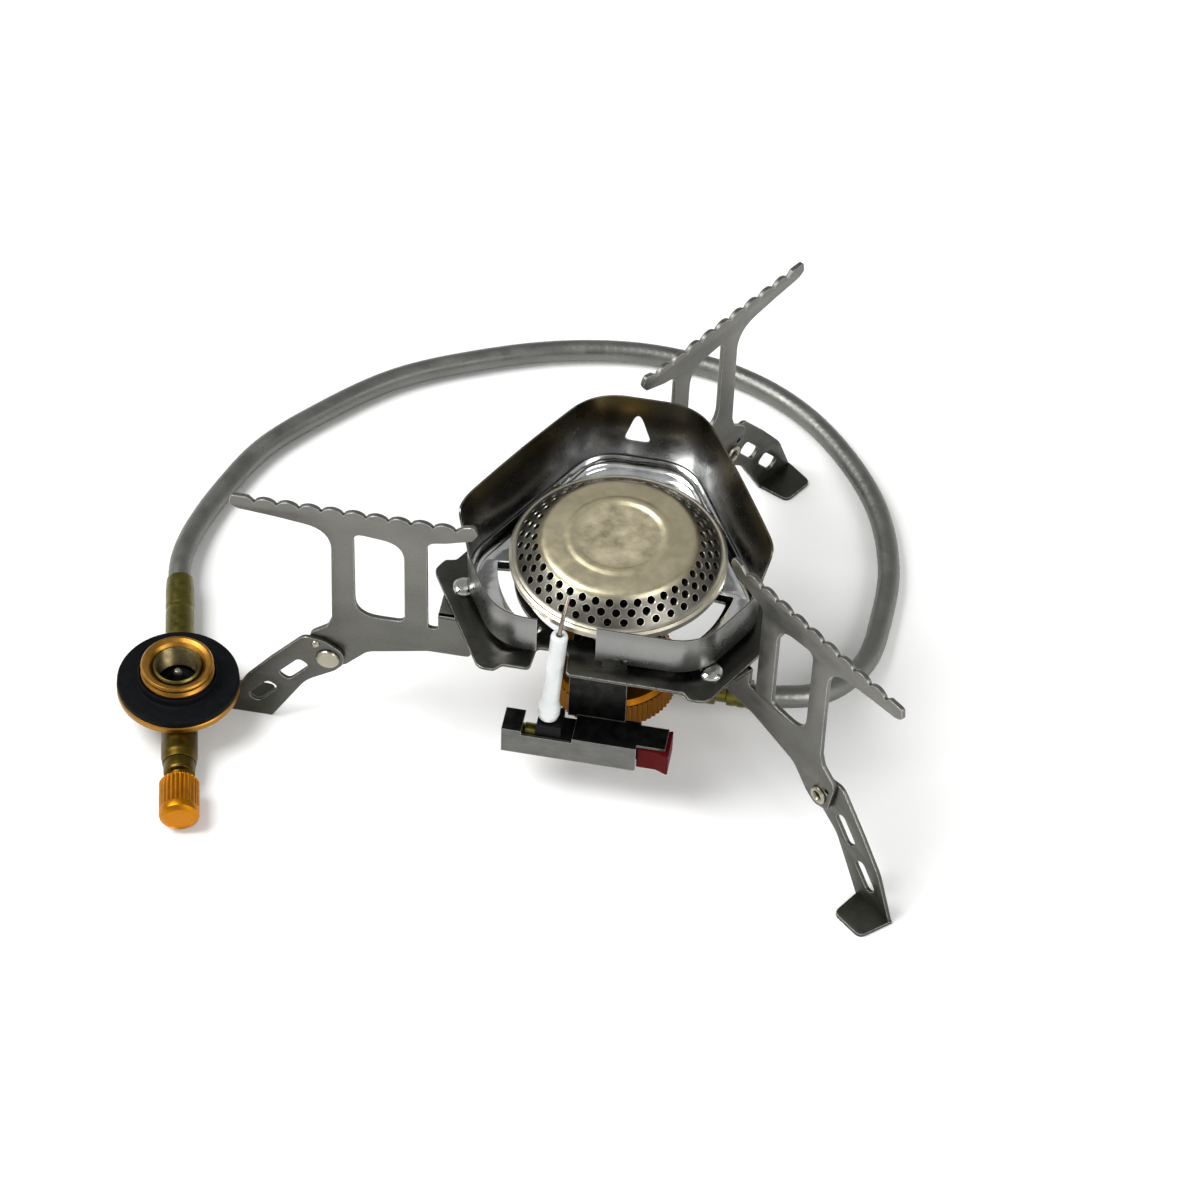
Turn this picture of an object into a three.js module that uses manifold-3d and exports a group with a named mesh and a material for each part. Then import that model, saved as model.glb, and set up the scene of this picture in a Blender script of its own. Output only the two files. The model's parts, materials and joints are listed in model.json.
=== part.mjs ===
// Remote-canister camping stove: a burner on three folding legs, a hose and a lying canister valve.
// Millimetres, +Z up. Everything is placed round the burner's axis first, with the table at z = 0
// and the igniter side towards -Y, and the whole group is centred on its own box at the end.
import * as THREE from "three";
import { mergeVertices } from "three/addons/utils/BufferGeometryUtils.js";
import Module from "manifold-3d";

const wasm = await Module();
wasm.setup();

// ---- driving dimensions -------------------------------------------------------------------

const SIDES = 30; // facets of a large round piece
const MEDIUM = 20; // facets of a tube or a collar
const SMALL = 10; // facets of a rivet or a pin
const FIT = 0.2; // running clearance of a turning piece

// The frame is a triangle with cut corners: three long sides and three short ones.
const FRONT_NORMAL = -98.2; // degrees, the direction the igniter side faces
const PLATE = { side: 37.5, corner: 47, shoulder: 39.7, bottom: 51.5, top: 52.5 };
const SHIELD = { side: 32.7, corner: 40.8, bend: 16, wall: 0.5, bottom: 54.6, low: 67, high: 79 };

// A leg turns on a rivet near a corner of the base plate; its sheet stands beside the rivet.
// Each corner of the base plate also has an air opening between two radii.
const PIVOT = { out: 41.2, aside: 9.74 };
const LEG = { sheet: 1.4, offset: 10, barTop: 87.4, toothDepth: 1.6, toothPitch: 6.1, teeth: 9 };
const LEGS = [
  { name: "left", corner: 201.8, opened: 172.2, air: [28.5, 34] },
  { name: "right", corner: -38.2, opened: -48.7, air: [24, 31] },
  { name: "rear", corner: 81.8, opened: 49, air: [24, 31] },
];
const FOOT = { sheet: 1.2, hinge: [36, 28.5], toe: 1.4 };

const BURNER = { rim: 30, rimTop: 62.4, cone: 28.4, plateau: 20.8, top: 69.4, sheet: 0.8 };
const HOUSING = { radius: 18.5, bottom: 9, top: 19.5, bore: 8.3 };
const INLET = { angle: -9, height: 13, radius: 3.5, reach: 33 };
const HOSE_RADIUS = 3.3;
const VALVE = { x: -121.5, y: -12, turn: 5.8, axis: 6.5, pad: 17.3, collar: 10.3, bore: 5.6 };

// ---- materials ----------------------------------------------------------------------------

const metal = (color, roughness) =>
  new THREE.MeshStandardMaterial({ color, roughness, metalness: 1 });
const plain = (color, roughness) =>
  new THREE.MeshStandardMaterial({ color, roughness, metalness: 0 });

const FINISH = {
  steel: () => metal(0x7b7b74, 0.45),
  polished: () => metal(0xb9b9b4, 0.15),
  nickel: () => metal(0xb7ab93, 0.35),
  gold: () => metal(0xc98218, 0.35),
  brass: () => metal(0x8f8140, 0.35),
  braid: () => metal(0x85857f, 0.5),
  rubber: () => plain(0x15181b, 0.7),
  ceramic: () => plain(0xf2f3f2, 0.15),
  black: () => plain(0x141414, 0.5),
  red: () => plain(0x8e1420, 0.4),
};

// ---- geometry helpers ---------------------------------------------------------------------

const rad = THREE.MathUtils.degToRad;
const polar = (radius, angle) => [radius * Math.cos(rad(angle)), radius * Math.sin(rad(angle))];

// A three.js geometry as a manifold-3d solid.
function solid(geometry) {
  const bare = geometry.clone();
  bare.deleteAttribute("normal");
  bare.deleteAttribute("uv");
  const merged = mergeVertices(bare, 1e-4);
  const vertProperties = merged.attributes.position.array;
  const triVerts = new Uint32Array(merged.index.array);
  return new wasm.Manifold(new wasm.Mesh({ numProp: 3, vertProperties, triVerts }));
}

// A manifold-3d solid as a flat-shaded three.js geometry.
function shape(body) {
  const mesh = body.getMesh();
  const geometry = new THREE.BufferGeometry();
  geometry.setAttribute("position", new THREE.BufferAttribute(mesh.vertProperties, 3));
  geometry.setIndex(new THREE.BufferAttribute(mesh.triVerts, 1));
  const flat = geometry.toNonIndexed();
  flat.computeVertexNormals();
  return flat;
}

// A body turned about +Z from a profile of [radius, z] points, bottom first, outside upwards.
function turned(profile, sides = SIDES) {
  const points = profile.map(([radius, z]) => new THREE.Vector2(radius, z));
  return new THREE.LatheGeometry(points, sides).rotateX(Math.PI / 2);
}

const rod = (radius, bottom, top, sides = SIDES) =>
  turned([[0, bottom], [radius, bottom], [radius, top], [0, top]], sides);

const ring = (inner, outer, bottom, top, sides = SIDES) =>
  turned([[inner, bottom], [outer, bottom], [outer, top], [inner, top], [inner, bottom]], sides);

// A box between two corners.
function block(low, high) {
  const size = high.map((value, i) => value - low[i]);
  const middle = high.map((value, i) => (value + low[i]) / 2);
  return new THREE.BoxGeometry(...size).translate(...middle);
}

// A closed outline of [x, y, corner radius] points, with each corner rounded.
function outline(corners, target = new THREE.Shape()) {
  const points = corners.map(([x, y]) => new THREE.Vector2(x, y));
  corners.forEach(([, , radius = 0], i) => {
    const here = points[i];
    const back = points.at(i - 1).clone().sub(here);
    const ahead = points[(i + 1) % points.length].clone().sub(here);
    const half = Math.abs(back.angleTo(ahead)) / 2;
    const cut = Math.min(radius / Math.tan(half), back.length() / 2, ahead.length() / 2);
    const start = here.clone().addScaledVector(back.normalize(), cut);
    const end = here.clone().addScaledVector(ahead.normalize(), cut);
    if (i) target.lineTo(start.x, start.y);
    else target.moveTo(start.x, start.y);
    if (radius) target.quadraticCurveTo(here.x, here.y, end.x, end.y);
  });
  target.closePath();
  return target;
}

// A flat sheet of an outline, from z = bottom to z = bottom + thickness.
function sheet(outlineShape, bottom, thickness, options = {}) {
  const settings = { depth: thickness, bevelEnabled: false, curveSegments: 3, ...options };
  return new THREE.ExtrudeGeometry(outlineShape, settings).translate(0, 0, bottom);
}

// A round bar along a smooth curve through [x, y, z] points.
function bar(points, radius, steps, sides = 8) {
  const curve = new THREE.CatmullRomCurve3(points.map((p) => new THREE.Vector3(...p)));
  const circle = new THREE.Shape();
  for (let i = 0; i < sides; i++) {
    const [x, y] = polar(radius, (360 * i) / sides);
    if (i) circle.lineTo(x, y);
    else circle.moveTo(x, y);
  }
  circle.closePath();
  return new THREE.ExtrudeGeometry(circle, { steps, extrudePath: curve, bevelEnabled: false });
}

// The cut-corner triangle, long sides at `side` and short ones at `corner` from the axis.
function frameOutline(side, corner, radius, target) {
  const corners = [];
  for (let k = 0; k < 3; k++) {
    const normal = FRONT_NORMAL + 120 * k;
    const halfSide = (corner - side * Math.cos(rad(60))) / Math.sin(rad(60));
    for (const along of [-halfSide, halfSide]) {
      const angle = normal + THREE.MathUtils.radToDeg(Math.atan2(along, side));
      corners.push([...polar(Math.hypot(side, along), angle), radius]);
    }
  }
  return outline(corners, target);
}

// A wedge of the space round the axis, from one angle counterclockwise to another.
function wedge(from, to, bottom, top) {
  const reach = 90;
  const corners = [[0, 0]];
  const steps = Math.ceil((to - from) / 60);
  for (let i = 0; i <= steps; i++) corners.push(polar(reach, from + ((to - from) * i) / steps));
  return solid(sheet(outline(corners), bottom, top - bottom));
}

// ---- scene --------------------------------------------------------------------------------

const stove = new THREE.Group();

function add(parent, name, geometry, material) {
  const mesh = new THREE.Mesh(geometry, material());
  mesh.name = name;
  parent.add(mesh);
  return mesh;
}

// ---- base plate ---------------------------------------------------------------------------

// The crescent opening along the cap's rim: its middle, its two radii and its half angle.
const CRESCENT = [212, 21, 26.2, 36];

// A kidney-shaped air opening between two radii, half an angle to each side, as a cutting solid.
function kidney(centre, inner, outer, half = 24) {
  const opening = new THREE.Shape();
  opening.absarc(0, 0, outer, rad(centre - half), rad(centre + half), false);
  opening.absarc(0, 0, inner, rad(centre + half), rad(centre - half), true);
  opening.closePath();
  return solid(sheet(opening, PLATE.bottom - 1, 6));
}

// The room for the ceramic in the igniter side of the base plate and of the dish.
function ceramicNotch(inner) {
  const notch = block([-17.5, -50, PLATE.bottom - 1], [-7.6, inner, PLATE.bottom + 5]);
  return solid(notch.rotateZ(rad(FRONT_NORMAL + 90)));
}

// Its long sides are set back in the middle, where the folded legs lie.
function basePlate() {
  const corners = [];
  const { side, corner, shoulder } = PLATE;
  const end = (corner - shoulder * Math.cos(rad(60))) / Math.sin(rad(60));
  const profile = [
    [shoulder, -end, 6],
    [shoulder, -27, 0.6],
    [side, -25, 0.6],
    [side, 24.5, 0.6],
    [shoulder, 26.5, 0.6],
    [shoulder, end, 6],
  ];
  for (let k = 0; k < 3; k++) {
    for (const [out, along, radius] of profile) {
      const angle = FRONT_NORMAL + 120 * k + THREE.MathUtils.radToDeg(Math.atan2(along, out));
      corners.push([...polar(Math.hypot(out, along), angle), radius]);
    }
  }
  let plate = solid(sheet(outline(corners), PLATE.bottom, PLATE.top - PLATE.bottom));
  plate = plate.subtract(solid(rod(9.6, PLATE.bottom - 1, PLATE.top + 1)));
  plate = plate.subtract(ceramicNotch(-29.6)).subtract(kidney(...CRESCENT));
  for (const leg of LEGS) {
    const hole = rod(2, PLATE.bottom - 1, PLATE.top + 1, SMALL).translate(...pivotOf(leg), 0);
    plate = plate.subtract(solid(hole));
    plate = plate.subtract(kidney(leg.corner, ...leg.air));
  }
  const screwHole = rod(1.6, PLATE.bottom - 1, PLATE.top + 1, SMALL).translate(0, -22, 0);
  return plate.subtract(solid(screwHole.rotateZ(rad(FRONT_NORMAL + 90))));
}

// A leg's pivot: out along its corner's centre line and a little clockwise of it.
function pivotOf({ corner }) {
  const [x, y] = polar(PIVOT.out, corner);
  const [asideX, asideY] = polar(PIVOT.aside, corner - 90);
  return [x + asideX, y + asideY];
}

add(stove, "base_plate", shape(basePlate()), FINISH.steel);

// ---- wind shield --------------------------------------------------------------------------

// One strip round the burner: low at the front with a gap for the electrode, tall at the back.
function windShield() {
  const { side, corner, bend, wall, bottom, low, high } = SHIELD;
  const flare = 3;
  const strip = frameOutline(side, corner, bend);
  strip.holes.push(frameOutline(side - wall, corner - wall, bend - wall, new THREE.Path()));
  const lowBand = solid(sheet(strip, bottom, low - bottom));
  const tall = sheet(strip, bottom, high - bottom, { steps: 4 });
  const position = tall.attributes.position;
  for (let i = 0; i < position.count; i++) {
    const rise = Math.max(0, position.getZ(i) - low + 4) / (high - low + 4);
    const reach = Math.hypot(position.getX(i), position.getY(i));
    const scale = 1 + (flare * rise ** 1.5) / reach;
    position.setXY(i, position.getX(i) * scale, position.getY(i) * scale);
  }
  const tallStart = -20;
  const tallEnd = 187;
  const gap = [236, 260.5];
  const front = wedge(tallEnd - 0.5, gap[0], bottom - 1, low + 1);
  const right = wedge(gap[1], tallStart + 360.5, bottom - 1, low + 1);
  let band = lowBand.intersect(front.add(right));
  band = band.add(solid(tall).intersect(wedge(tallStart, tallEnd, bottom - 1, high + 1)));

  // The vent in the back wall, a triangle on its base.
  const vent = outline([[-7.9, 64.8, 1.2], [0.1, 64.8, 1.2], [-3.9, 75.9, 1.2]]);
  const ventCut = sheet(vent, 0, 60).rotateX(Math.PI / 2).rotateZ(Math.PI);
  band = band.subtract(solid(ventCut));

  // Feet of the strip that stand on the base plate, one in the middle of each long side.
  for (let k = 0; k < 3; k++) {
    const foot = block([2, -side, PLATE.top], [8, wall - side, bottom + 1]);
    band = band.add(solid(foot.rotateZ(rad(FRONT_NORMAL + 90 + 120 * k))));
  }
  return band;
}

add(stove, "wind_shield", shape(windShield()), FINISH.polished);

// ---- reflector dish -----------------------------------------------------------------------

// A polished sheet that fills the shield, with an air opening in each corner.
function reflectorDish() {
  const { side, corner, bend } = SHIELD;
  const edge = 0.9;
  const bottom = 55.2;
  const rim = frameOutline(side - edge, corner - edge, bend - edge);
  let dish = solid(sheet(rim, bottom, 0.5)).subtract(solid(rod(9.9, bottom - 1, bottom + 1)));
  for (const leg of LEGS) dish = dish.subtract(kidney(leg.corner, 25.5, 33));
  return dish.subtract(kidney(...CRESCENT)).subtract(ceramicNotch(-20.4));
}

add(stove, "reflector_dish", shape(reflectorDish()), FINISH.polished);
add(stove, "dish_spacer", ring(9.9, 13, PLATE.top, 55.2, MEDIUM), FINISH.steel);

// ---- burner -------------------------------------------------------------------------------

// The cap: a rolled rim, a perforated cone, a plateau with a raised ring, in one pressed sheet.
function burnerCap() {
  const { rim, rimTop, cone, plateau, top, sheet: wall } = BURNER;
  const outer = [
    [rim - wall, rimTop - 2.6], [rim, rimTop - 2], [rim, rimTop - 0.5], [rim - 0.7, rimTop],
    [cone, rimTop + 0.2], [plateau + 1, top - 0.8], [plateau - 0.6, top],
    [15, top], [14.2, top + 0.5], [12.6, top + 0.5], [11.8, top], [0, top],
  ];
  const inner = [
    [0, top - wall], [plateau - 1, top - wall], [cone - 0.6, rimTop - 0.6],
    [rim - wall, rimTop - 0.6], [rim - wall, rimTop - 2.6],
  ];
  let cap = solid(turned([...outer, ...inner]));
  const slope = Math.atan2(top - rimTop - 1, cone - plateau - 1);
  const rows = 3;
  const holes = 24;
  for (let row = 0; row < rows; row++) {
    const share = (row + 0.8) / (rows + 0.6);
    const radius = cone + (plateau + 1 - cone) * share;
    const height = rimTop + 0.2 + (top - 1 - rimTop) * share;
    for (let k = 0; k < holes; k++) {
      const angle = (360 * (k + row / 2)) / holes;
      const drill = rod(1.1, -2, 2, 4).rotateY(Math.PI / 2 - slope);
      cap = cap.subtract(solid(drill.translate(radius, 0, height).rotateZ(rad(angle))));
    }
  }
  return cap;
}

// The cup that feeds the cap, narrowing to the neck that stands on the mixer tube.
function burnerCup() {
  const outside = [[9, 46], [9.4, 52], [9.4, 55.8], [14, 56.2], [26, 58.8], [28.8, 61.4]];
  const inside = [[28, 61.4], [25.6, 59.6], [13.8, 57], [7.4, 56.2], [7.4, 46], [9, 46]];
  return turned([...outside, ...inside]);
}

add(stove, "burner_cap", shape(burnerCap()), FINISH.nickel);
add(stove, "burner_cup", burnerCup(), FINISH.steel);
add(stove, "flame_gauze", ring(1.5, 25, 60.6, 61.2, MEDIUM), FINISH.steel);

// ---- mixer tube, gold housing and gas inlet -----------------------------------------------

function mixerTube() {
  let tube = solid(ring(5.6, 7.2, 20.4, 54, MEDIUM));
  for (let k = 0; k < 2; k++) {
    const port = rod(2.4, -10, 10, SMALL).rotateX(Math.PI / 2).translate(0, 0, 30);
    tube = tube.subtract(solid(port.rotateZ(rad(45 + 90 * k))));
  }
  return tube;
}

// A knurled wheel: a round outline with shallow teeth.
function knurled(radius, teeth, depth, target = new THREE.Shape()) {
  for (let i = 0; i < teeth * 2; i++) {
    const [x, y] = polar(i % 2 ? radius - depth : radius, (180 * i) / teeth);
    if (i) target.lineTo(x, y);
    else target.moveTo(x, y);
  }
  target.closePath();
  return target;
}

function alongInlet(geometry) {
  return geometry.rotateY(Math.PI / 2).translate(0, 0, INLET.height).rotateZ(rad(INLET.angle));
}

function housing() {
  const { radius, bottom, top, bore } = HOUSING;
  const edge = 1.2;
  let wheel = solid(sheet(knurled(radius, 44, 0.5), bottom + edge, top - bottom - 2 * edge));
  const core = [
    [0, bottom], [radius - 1.8, bottom], [radius - 0.6, bottom + edge + 0.1],
    [radius - 0.6, top - edge - 0.1], [radius - 1.8, top], [0, top],
  ];
  wheel = wheel.add(solid(turned(core)));
  wheel = wheel.subtract(solid(rod(bore, bottom + 2, top + 1, MEDIUM)));
  return wheel.subtract(solid(alongInlet(rod(INLET.radius + 0.2, bore - 2, radius + 2, SMALL))));
}

function gasBlock() {
  const block = solid(turned([[0, 11.2], [8, 11.2], [8, 20.2], [0, 20.2]], MEDIUM));
  return block
    .subtract(solid(alongInlet(rod(2, 2, 9, SMALL))))
    .subtract(solid(rod(2.2, INLET.height, 22, SMALL)));
}

// The jet: a small hexagonal brass screw with the gas orifice through it.
function jetNozzle() {
  const body = solid(rod(2, 15, 20.4, SMALL)).add(solid(rod(3.4, 20.4, 24, 6)));
  return body.subtract(solid(rod(0.6, 14, 25, 8)));
}

add(stove, "mixer_tube", shape(mixerTube()), FINISH.steel);
add(stove, "base_housing", shape(housing()), FINISH.gold);
add(stove, "gas_block", shape(gasBlock()), FINISH.brass);
add(stove, "jet_nozzle", shape(jetNozzle()), FINISH.brass);

const inletTube = turned(
  [
    [2, 8.2], [INLET.radius, 8.2], [INLET.radius, 25], [4.6, 25.4], [4.6, 29.6], [INLET.radius, 30],
    [INLET.radius, INLET.reach], [2, INLET.reach], [2, 8.2],
  ],
  SMALL,
);
add(stove, "inlet_tube", alongInlet(inletTube), FINISH.brass);

const ferrule = ring(HOSE_RADIUS + 0.25, 4.2, INLET.reach + 0.2, INLET.reach + 7, SMALL);
add(stove, "hose_ferrule", alongInlet(ferrule), FINISH.brass);

// ---- hose ---------------------------------------------------------------------------------

const [hoseX, hoseY] = polar(INLET.reach + 1, INLET.angle);
const [leadX, leadY] = polar(INLET.reach + 9, INLET.angle);
const valvePoint = (x, y, z) => {
  const point = new THREE.Vector3(x, y, z).applyAxisAngle(new THREE.Vector3(0, 0, 1), rad(VALVE.turn));
  return [point.x + VALVE.x, point.y + VALVE.y, point.z];
};
const HOSE_LINE = [
  [hoseX, hoseY, INLET.height],
  [leadX, leadY, INLET.height],
  [57, -4, 11.5],
  [66, 4, 8.5],
  [73, 16, 5.5],
  [77, 32, 4],
  [79.6, 52, 3.8],
  [76.5, 76, 3.8],
  [65.5, 100, 3.8],
  [51, 118, 3.8],
  [32, 130.5, 3.8],
  [6, 137.5, 3.8],
  [-20, 137, 3.8],
  [-46, 131, 3.8],
  [-70, 121.5, 3.8],
  [-92, 105, 3.8],
  [-107.5, 89.5, 3.8],
  [-117.2, 72.5, 3.8],
  [-123, 58.5, 4.3],
  [-125.9, 47, 5.4],
  valvePoint(0, 50, VALVE.axis),
  valvePoint(0, 41.5, VALVE.axis),
];
add(stove, "hose", bar(HOSE_LINE, HOSE_RADIUS, 56, 8), FINISH.braid);

// ---- canister valve -----------------------------------------------------------------------

const valve = new THREE.Group();
valve.position.set(VALVE.x, VALVE.y, 0);
valve.rotation.z = rad(VALVE.turn);
stove.add(valve);

// A turned geometry laid along the valve's length, with its bottom end at the far side.
const alongValve = (geometry) => geometry.rotateX(Math.PI / 2).translate(0, 0, VALVE.axis);

function valveBody() {
  const { bore, axis } = VALVE;
  const post = [[0, 1], [7.6, 1], [8.6, 2], [8.6, 11], [6.9, 11], [6.9, 21.4], [0, 21.4]];
  let body = solid(turned(post));
  const arm = [[0, -14], [4.6, -14], [4.6, 17.5], [5.3, 18.5], [5.3, 24], [0, 24]];
  body = body.add(solid(alongValve(turned(arm, MEDIUM))));
  body = body.subtract(solid(rod(bore, 12.5, 22, MEDIUM)));
  body = body.subtract(solid(alongValve(rod(1.9, 4, 26, SMALL))));
  body = body.subtract(solid(alongValve(rod(1.9, -16, -4, SMALL))));
  return body.subtract(solid(rod(1, axis, 13, 8)));
}

add(valve, "valve_body", shape(valveBody()), FINISH.brass);
add(valve, "valve_flange", ring(7.1, VALVE.pad, 11.2, 13.8), FINISH.gold);

// The rubber face has a low neck round the collar.
const padProfile = [
  [10.6, 13.8], [VALVE.pad - 0.2, 13.8], [VALVE.pad - 0.2, 16], [11.5, 16], [11.2, 18.4], [10.6, 18.4],
  [10.6, 13.8],
];
add(valve, "flange_pad", turned(padProfile), FINISH.rubber);

const collarProfile = [
  [7.1, 13.8], [VALVE.collar, 13.8], [VALVE.collar, 19.4], [9.6, 19.8], [9.6, 20.4],
  [VALVE.collar - 0.2, 20.8], [9.7, 22], [8.2, 22], [7.1, 21.2], [7.1, 13.8],
];
add(valve, "canister_collar", turned(collarProfile), FINISH.gold);
add(valve, "seal_ring", ring(2.6, 5.3, 12.5, 14.6, MEDIUM), FINISH.rubber);

const pin = [[0, 12.5], [2.1, 12.5], [2.1, 13.2], [1.2, 13.6], [1.2, 18.4], [0.7, 19], [0, 19]];
add(valve, "valve_pin", turned(pin, SMALL), FINISH.nickel);

const valveFerrule = turned(
  [
    [HOSE_RADIUS + 0.25, -45], [3.9, -45], [4.1, -40], [4.1, -20], [3.6, -18], [3.6, -14.2],
    [1.9, -14.2], [1.9, -39], [HOSE_RADIUS + 0.25, -39], [HOSE_RADIUS + 0.25, -45],
  ],
  SMALL,
);
add(valve, "valve_ferrule", alongValve(valveFerrule), FINISH.brass);

add(valve, "packing_nut", alongValve(ring(2.3, 4.5, 24.2, 29.4, 6)), FINISH.brass);

// The control knob and its spindle turn together.
function controlKnob() {
  const grip = solid(sheet(knurled(5.6, 20, 0.45), 31, 10.4));
  const core = [
    [0, 30.2], [4.6, 30.2], [5.2, 31.1], [5.2, 41], [5.6, 41.3], [5.6, 43], [4.8, 43.8], [0, 43.8],
  ];
  const knob = grip.add(solid(turned(core, MEDIUM)));
  return knob.subtract(solid(rod(1.8, 29, 38, SMALL)));
}
add(valve, "control_knob", alongValve(shape(controlKnob())), FINISH.gold);
add(valve, "valve_spindle", alongValve(rod(1.6, 6, 37.8, SMALL)), FINISH.brass);

// ---- igniter ------------------------------------------------------------------------------

const igniter = new THREE.Group();
igniter.rotation.z = rad(FRONT_NORMAL + 90);
stove.add(igniter);

// A bent channel that hangs from the base plate and holds the piezo unit under the front side.
function igniterBracket() {
  const front = outline([[-25, 15.8, 0.8], [12.6, 15.8, 0.8], [12.6, 25], [-25, 25]]);
  const frontPlate = sheet(front, 0, 0.8).rotateX(Math.PI / 2).translate(0, -36.2, 0);
  const hanger = block([-8, -27.8, 24.2], [8, -27, 51.3]);
  return solid(frontPlate)
    .add(solid(block([-5.3, -37, 24.2], [12.6, -27, 25])))
    .add(solid(block([12.5, -35.5, 24.2], [20.5, -28, 25])))
    .add(solid(block([-25, -37, 24.2], [-19.5, -29, 25])))
    .add(solid(block([-25, -37, 15.8], [-24.2, -29, 25])))
    .add(solid(hanger))
    .add(solid(block([-8, -27.8, 50.5], [8, -17, 51.3])))
    .subtract(solid(rod(1.6, 50, 52, SMALL).translate(0, -22, 0)))
    .subtract(solid(block([-19.5, -37.5, 23.4], [-5.3, -36, 26])));
}

function igniterBody() {
  const middle = -32.2;
  let body = solid(block([-15, -35.9, 16.4], [8.4, -28.6, 24]));
  body = body.add(solid(block([-15.4, -36, 16.4], [-8.6, -28.8, 28])));
  body = body.subtract(solid(rod(2.3, 26, 30, SMALL).translate(-12.5, -34 + 1.4, 0)));
  return body.subtract(solid(block([1.8, middle - 2.7, 17.6], [9, middle + 2.7, 22.8])));
}

function igniterButton() {
  const plunger = block([6.2, -34.6, 17.9], [13, -29.8, 22.5]);
  const outer = outline([
    [12.7, -36, 0.5], [18, -36, 0.8], [21.6, -37.4, 0.4],
    [21.6, -27.4, 0.4], [18, -28.8, 0.8], [12.7, -28.8, 0.5],
  ]);
  return solid(plunger).add(solid(sheet(outer, 16.6, 7.3)));
}

add(igniter, "igniter_bracket", shape(igniterBracket()), FINISH.steel);
add(igniter, "igniter_body", shape(igniterBody()), FINISH.black);
add(igniter, "igniter_button", shape(igniterButton()), FINISH.red);
const terminal = rod(2.6, 15.7, 23.6, MEDIUM).rotateY(-Math.PI / 2).translate(0, -32.6, 20.3);
add(igniter, "igniter_terminal", terminal, FINISH.brass);

const screw = [[0, 47.5], [1.4, 47.5], [1.4, 52.6], [2.9, 52.6], [2.6, 53.8], [0, 54.2]];
add(igniter, "igniter_screw", turned(screw, SMALL).translate(0, -22, 0), FINISH.steel);

// The ceramic leans a little inwards; the electrode leaves its top and bends over the burner.
const ceramicProfile = [
  [0, 0], [2.2, 0], [3, 2], [3, 5], [2.4, 7], [2.4, 34], [1.8, 34.6], [0.9, 34.6], [0.9, 31], [0, 31],
];
const ceramic = turned(ceramicProfile, SMALL).rotateY(rad(4)).translate(-12.7, -32.8, 28.2);
add(igniter, "ceramic_insulator", ceramic, FINISH.ceramic);
const ELECTRODE = [[-10.4, -32.8, 61], [-10.2, -32.8, 64], [-9.8, -31, 67.5], [-9.2, -26.5, 71]];
add(igniter, "electrode_wire", bar(ELECTRODE, 0.6, 10, 6), FINISH.steel);

// ---- legs and feet ------------------------------------------------------------------------
// Each leg group has its origin on the pivot, x along the leg, y across its sheet and z up.

// An upright sheet whose outline is drawn in [x, z], centred on y.
function upright(outlineShape, y, thickness) {
  return sheet(outlineShape, 0, thickness).rotateX(Math.PI / 2).translate(0, y + thickness / 2, 0);
}

function legOutline() {
  const { barTop, toothDepth, toothPitch, teeth } = LEG;
  const teethEnd = 55.4;
  const valley = barTop - toothDepth;
  const samples = 3;
  const crests = [];
  for (let i = 1; i < teeth * samples; i++) {
    const rise = Math.abs(Math.sin((Math.PI * i) / samples)) ** 0.7;
    crests.push([teethEnd - (toothPitch * i) / samples, valley + toothDepth * rise]);
  }
  const [hingeX, hingeZ] = FOOT.hinge;
  return outline([
    [-4, 51.3], [-4, 36, 1], [8, 36, 8], [25, 32, 4], [hingeX - 5, hingeZ - 3, 2],
    [hingeX - 1.5, hingeZ - 5.2, 2.5], [hingeX + 3.6, hingeZ - 3.6, 2], [hingeX + 5.6, hingeZ + 7.5, 2.5],
    [36.2, 40.2, 2], [34.9, 44, 2], [34.5, 79.2, 9], [50, 81.5, 3],
    [60, 82.6, 3], [62.4, 84, 1.2], [61.8, barTop, 0.8], [57, barTop, 1],
    [teethEnd, valley], ...crests, [teethEnd - toothPitch * teeth, valley],
    [-1.6, 87.6, 0.8], [-4.6, 88.4, 1], [-5.6, 85.6, 1.2], [-4.2, 83, 1],
    [3, 80.6, 2], [8.2, 79.6, 2], [8, 45.5, 1], [5.2, 45.5, 1], [5.2, 51.3],
  ]);
}

function legPlate() {
  const profile = legOutline();
  const window = [[14.5, 46.5, 2], [28.3, 46.5, 6], [28.3, 79.2, 2], [14.5, 77.6, 6]];
  profile.holes.push(outline(window, new THREE.Path()));
  const { sheet: thick, offset } = LEG;
  const tab = outline([
    [-4, offset + thick / 2], [-4, 0, 3.9], [-3, -4.4, 3.9], [3, -4.4, 3.9], [5.2, 0, 3.9],
    [5.2, offset + thick / 2],
  ]);
  const [hingeX, hingeZ] = FOOT.hinge;
  const hingeHole = rod(2, -2, 2, SMALL).rotateX(Math.PI / 2).translate(hingeX, offset, hingeZ);
  return solid(upright(profile, offset, thick))
    .add(solid(sheet(tab, 50.1, 1.2)))
    .subtract(solid(rod(1.9 + FIT, 49, 52, SMALL)))
    .subtract(solid(hingeHole));
}

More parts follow.
